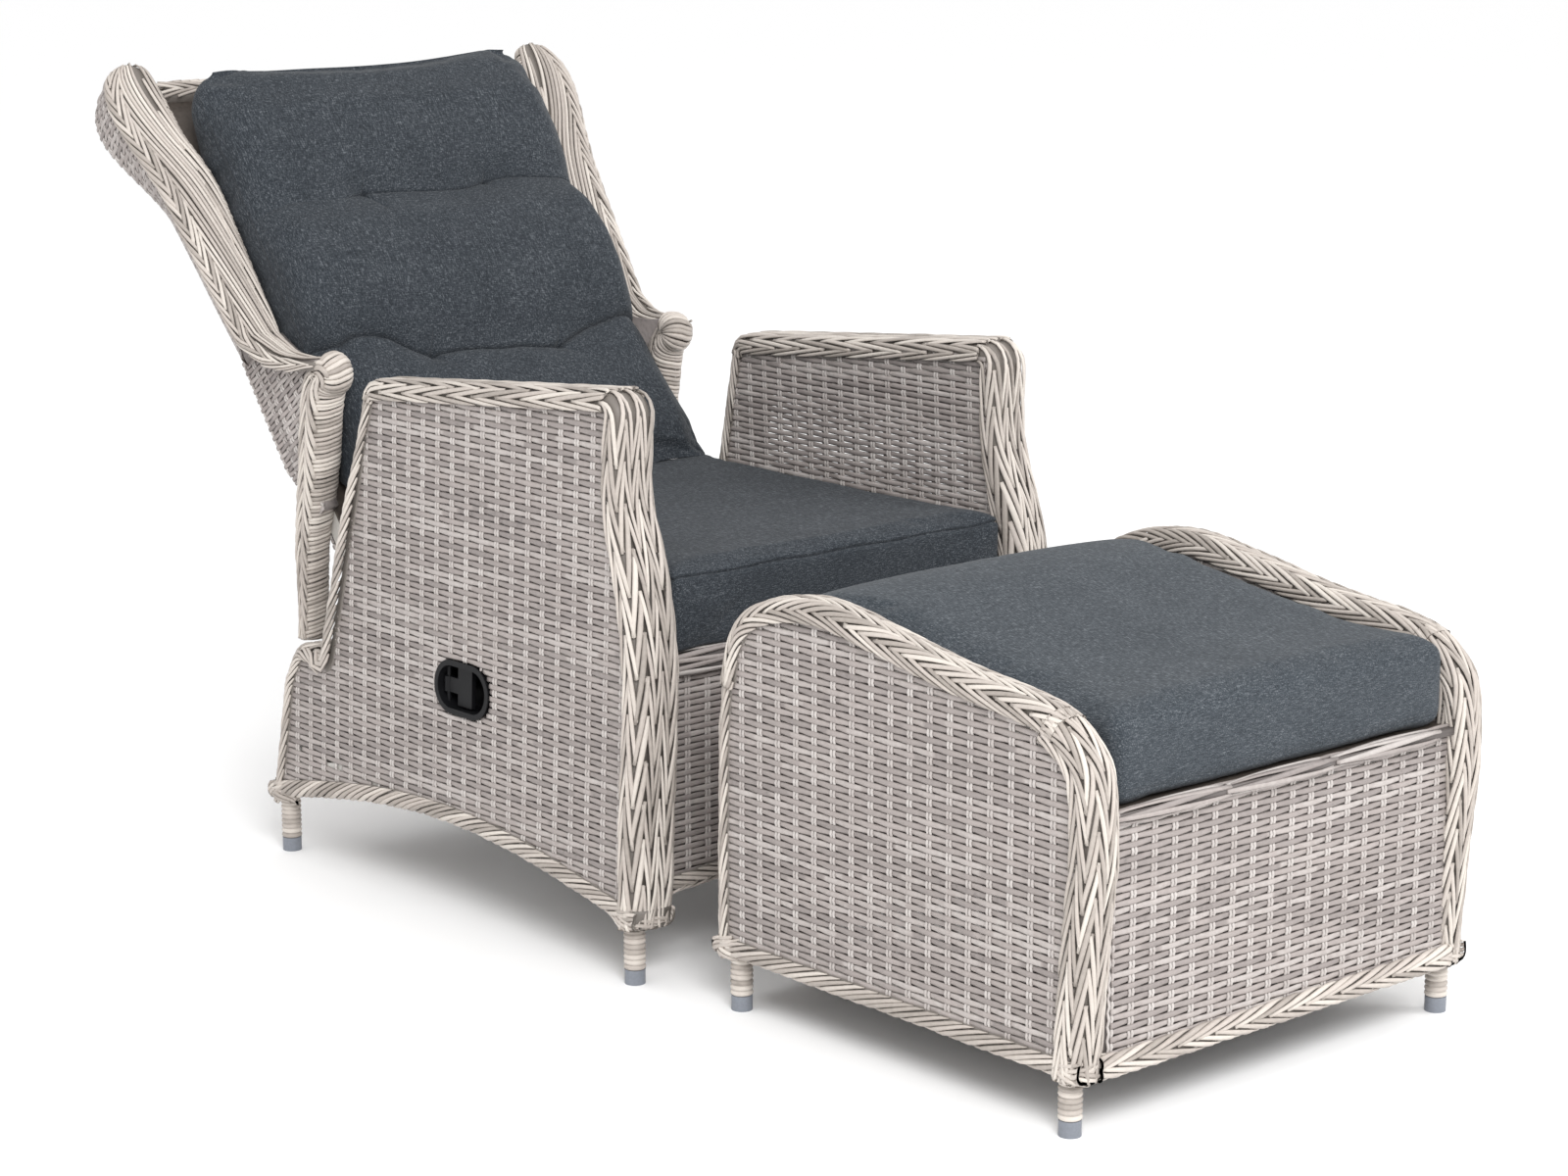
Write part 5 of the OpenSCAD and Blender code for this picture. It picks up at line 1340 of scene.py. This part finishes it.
foot_z = PAD_Z + PAD_T + 0.3 - 12.0 * smooth((np.abs(verts[:, 0]) - 246.0) / 34.0)
low = np.clip((verts[:, 2] - foot_z) / 45.0, 0.0, 1.0)
verts[:, 2] = np.where(low < 1.0, foot_z + 45.0 * low ** 1.7, verts[:, 2])
cushion("back_pad_dressed", "back_pad", "back_cushion", (verts, loops, totals), BACK_CLOTH)

# Footstool cushion: x across, v from the footstool's front edge, c up from its deck
STOOL_PAD_HALF, STOOL_PAD_Z, STOOL_PAD_L = STOOL_IN - 2.0, 350.3, STOOL_DEPTH * 0.95
STOOL_PAD_FROM = 0.012
STOOL_PAD_Y = STOOL_FRONT + STOOL_PAD_FROM * STOOL_DEPTH
STOOL_TOP = [(0.012, 0.905), (0.06, 0.905), (0.12, 0.905), (0.26, 0.915), (0.45, 0.947), (0.63, 0.982),
             (0.72, 0.99), (0.80, 0.986), (0.88, 0.962), (0.93, 0.93), (0.962, 0.90)]


def stool_top(v):
    return STOOL_H * float(line_at(v / STOOL_DEPTH + STOOL_PAD_FROM, STOOL_TOP)) - STOOL_PAD_Z


verts, loops, totals = puffed(boxed(
    STOOL_PAD_L - 6, lambda v: STOOL_PAD_HALF - 4.0, lambda v: 2.0, lambda v: stool_top(v) - 9.0, 18.0,
    lambda x, v, c: np.stack([x, STOOL_PAD_Y + 3.0 + v, STOOL_PAD_Z + c], -1)), 7.0)
x, v, c = verts[:, 0], verts[:, 1] - STOOL_PAD_Y, verts[:, 2] - STOOL_PAD_Z
spots = np.linspace(0, STOOL_PAD_L, 60)
top_c = np.interp(v, spots, [stool_top(t) for t in spots])
edge = np.minimum(np.minimum(v, STOOL_PAD_L - v), STOOL_PAD_HALF - np.abs(x))
seam = (groove(c - top_c + 19.0, 2.4, 2.2) + groove(c - 16.0, 2.0, 2.2)) * smooth((16.0 - edge) / 8.0)
ripple = 0.9 * np.sin(x / 24.0 + 2.0 * np.sin(v / 70.0)) * dent(v - 16.0, 1.0, 24.0) * smooth((c - 60) / 30)
from_end = np.minimum(v, STOOL_PAD_L - v)
verts[:, 1] += np.where(v < STOOL_PAD_L / 2, 1, -1) * seam * smooth((30.0 - from_end) / 15.0)
verts[:, 2] += ripple
verts[:, 0] = np.clip(verts[:, 0], -STOOL_PAD_HALF - 3, STOOL_PAD_HALF + 3)
verts[:, 2] = np.maximum(verts[:, 2], STOOL_PAD_Z)
cushion("stool_pad", "footstool", "stool_cushion", (verts, loops, totals), LIT_STOOL_CLOTH)

# CAD pieces that stay
FINISH = {
    TUBE: ["arm_frames", "seat_rails", "seat_cross_tubes", "hinge_tube", "back_side_tubes",
           "back_cross_tubes", "stool_frames", "stool_cross_tubes"],
    STEEL: ["hinge_brackets", "hinge_pins", "spring_bracket", "spring_base_pin", "hinge_lugs", "spring_lever",
            "spring_lever_pin", "gas_rod"],
    BLACK: ["handle_cup", "release_cable", "release_head", "release_paddle", "paddle_pin"],
    PAINT: ["gas_cylinder"], CAP: ["chair_foot_caps", "stool_foot_caps"],
    SHADED_DECK: ["seat_deck", "stool_deck", "back_front_weave"],
}
for finish, names in FINISH.items():
    for name in names:
        for slot in frame["nodes"][name].material_slots:
            slot.material = finish

# Floor, light and camera
FLOOR_REACH, FLOOR_SHADE, SKY_STRENGTH = 90, 0.965, 1.03
SUBJECT = (0, 0, 0.4)
floor_mesh = bpy.data.meshes.new("floor")
floor_mesh.from_pydata([(x * FLOOR_REACH, y * FLOOR_REACH, 0) for x, y in rectangle(-1, 1, -1, 1)], [],
                       [(0, 1, 2, 3)])
floor = linked("floor", floor_mesh)
made, n, shader = material("pale_floor")
shader.inputs["Base Color"].default_value = (FLOOR_SHADE, FLOOR_SHADE, FLOOR_SHADE, 1)
shader.inputs["Roughness"].default_value = 0.9
floor_mesh.materials.append(made)

world = bpy.data.worlds.new("studio")
scene.world = world
world.use_nodes = True
sky = world.node_tree.nodes["Background"]
sky.inputs["Color"].default_value = (1, 1, 1, 1)
sky.inputs["Strength"].default_value = SKY_STRENGTH


def area_light(name, place, size, power):
    """A round lamp that points at the subject."""
    lamp = bpy.data.lights.new(name, "AREA")
    lamp.shape, lamp.size, lamp.energy = "DISK", size, power
    thing = linked(name, lamp)
    away = mathutils.Vector(SUBJECT) - mathutils.Vector(place)
    thing.location = place
    thing.rotation_euler = away.to_track_quat("-Z", "Y").to_euler()


area_light("key", (-2.3, -3.7, 3.4), 2.2, 165)
area_light("fill", (3.3, -3.5, 2.5), 2.6, 70)

view = bpy.data.cameras.new("camera")
view.sensor_width, view.lens = 36.0, 80.55
camera = linked("camera", view)
camera.location = (-2.81203, -3.314748, 1.35)
azimuth, elevation = math.radians(-41.06), math.radians(12.36)
camera.rotation_euler = (math.pi / 2 - elevation, 0.0, azimuth)
scene.camera = camera
scene.view_settings.view_transform = "Standard"
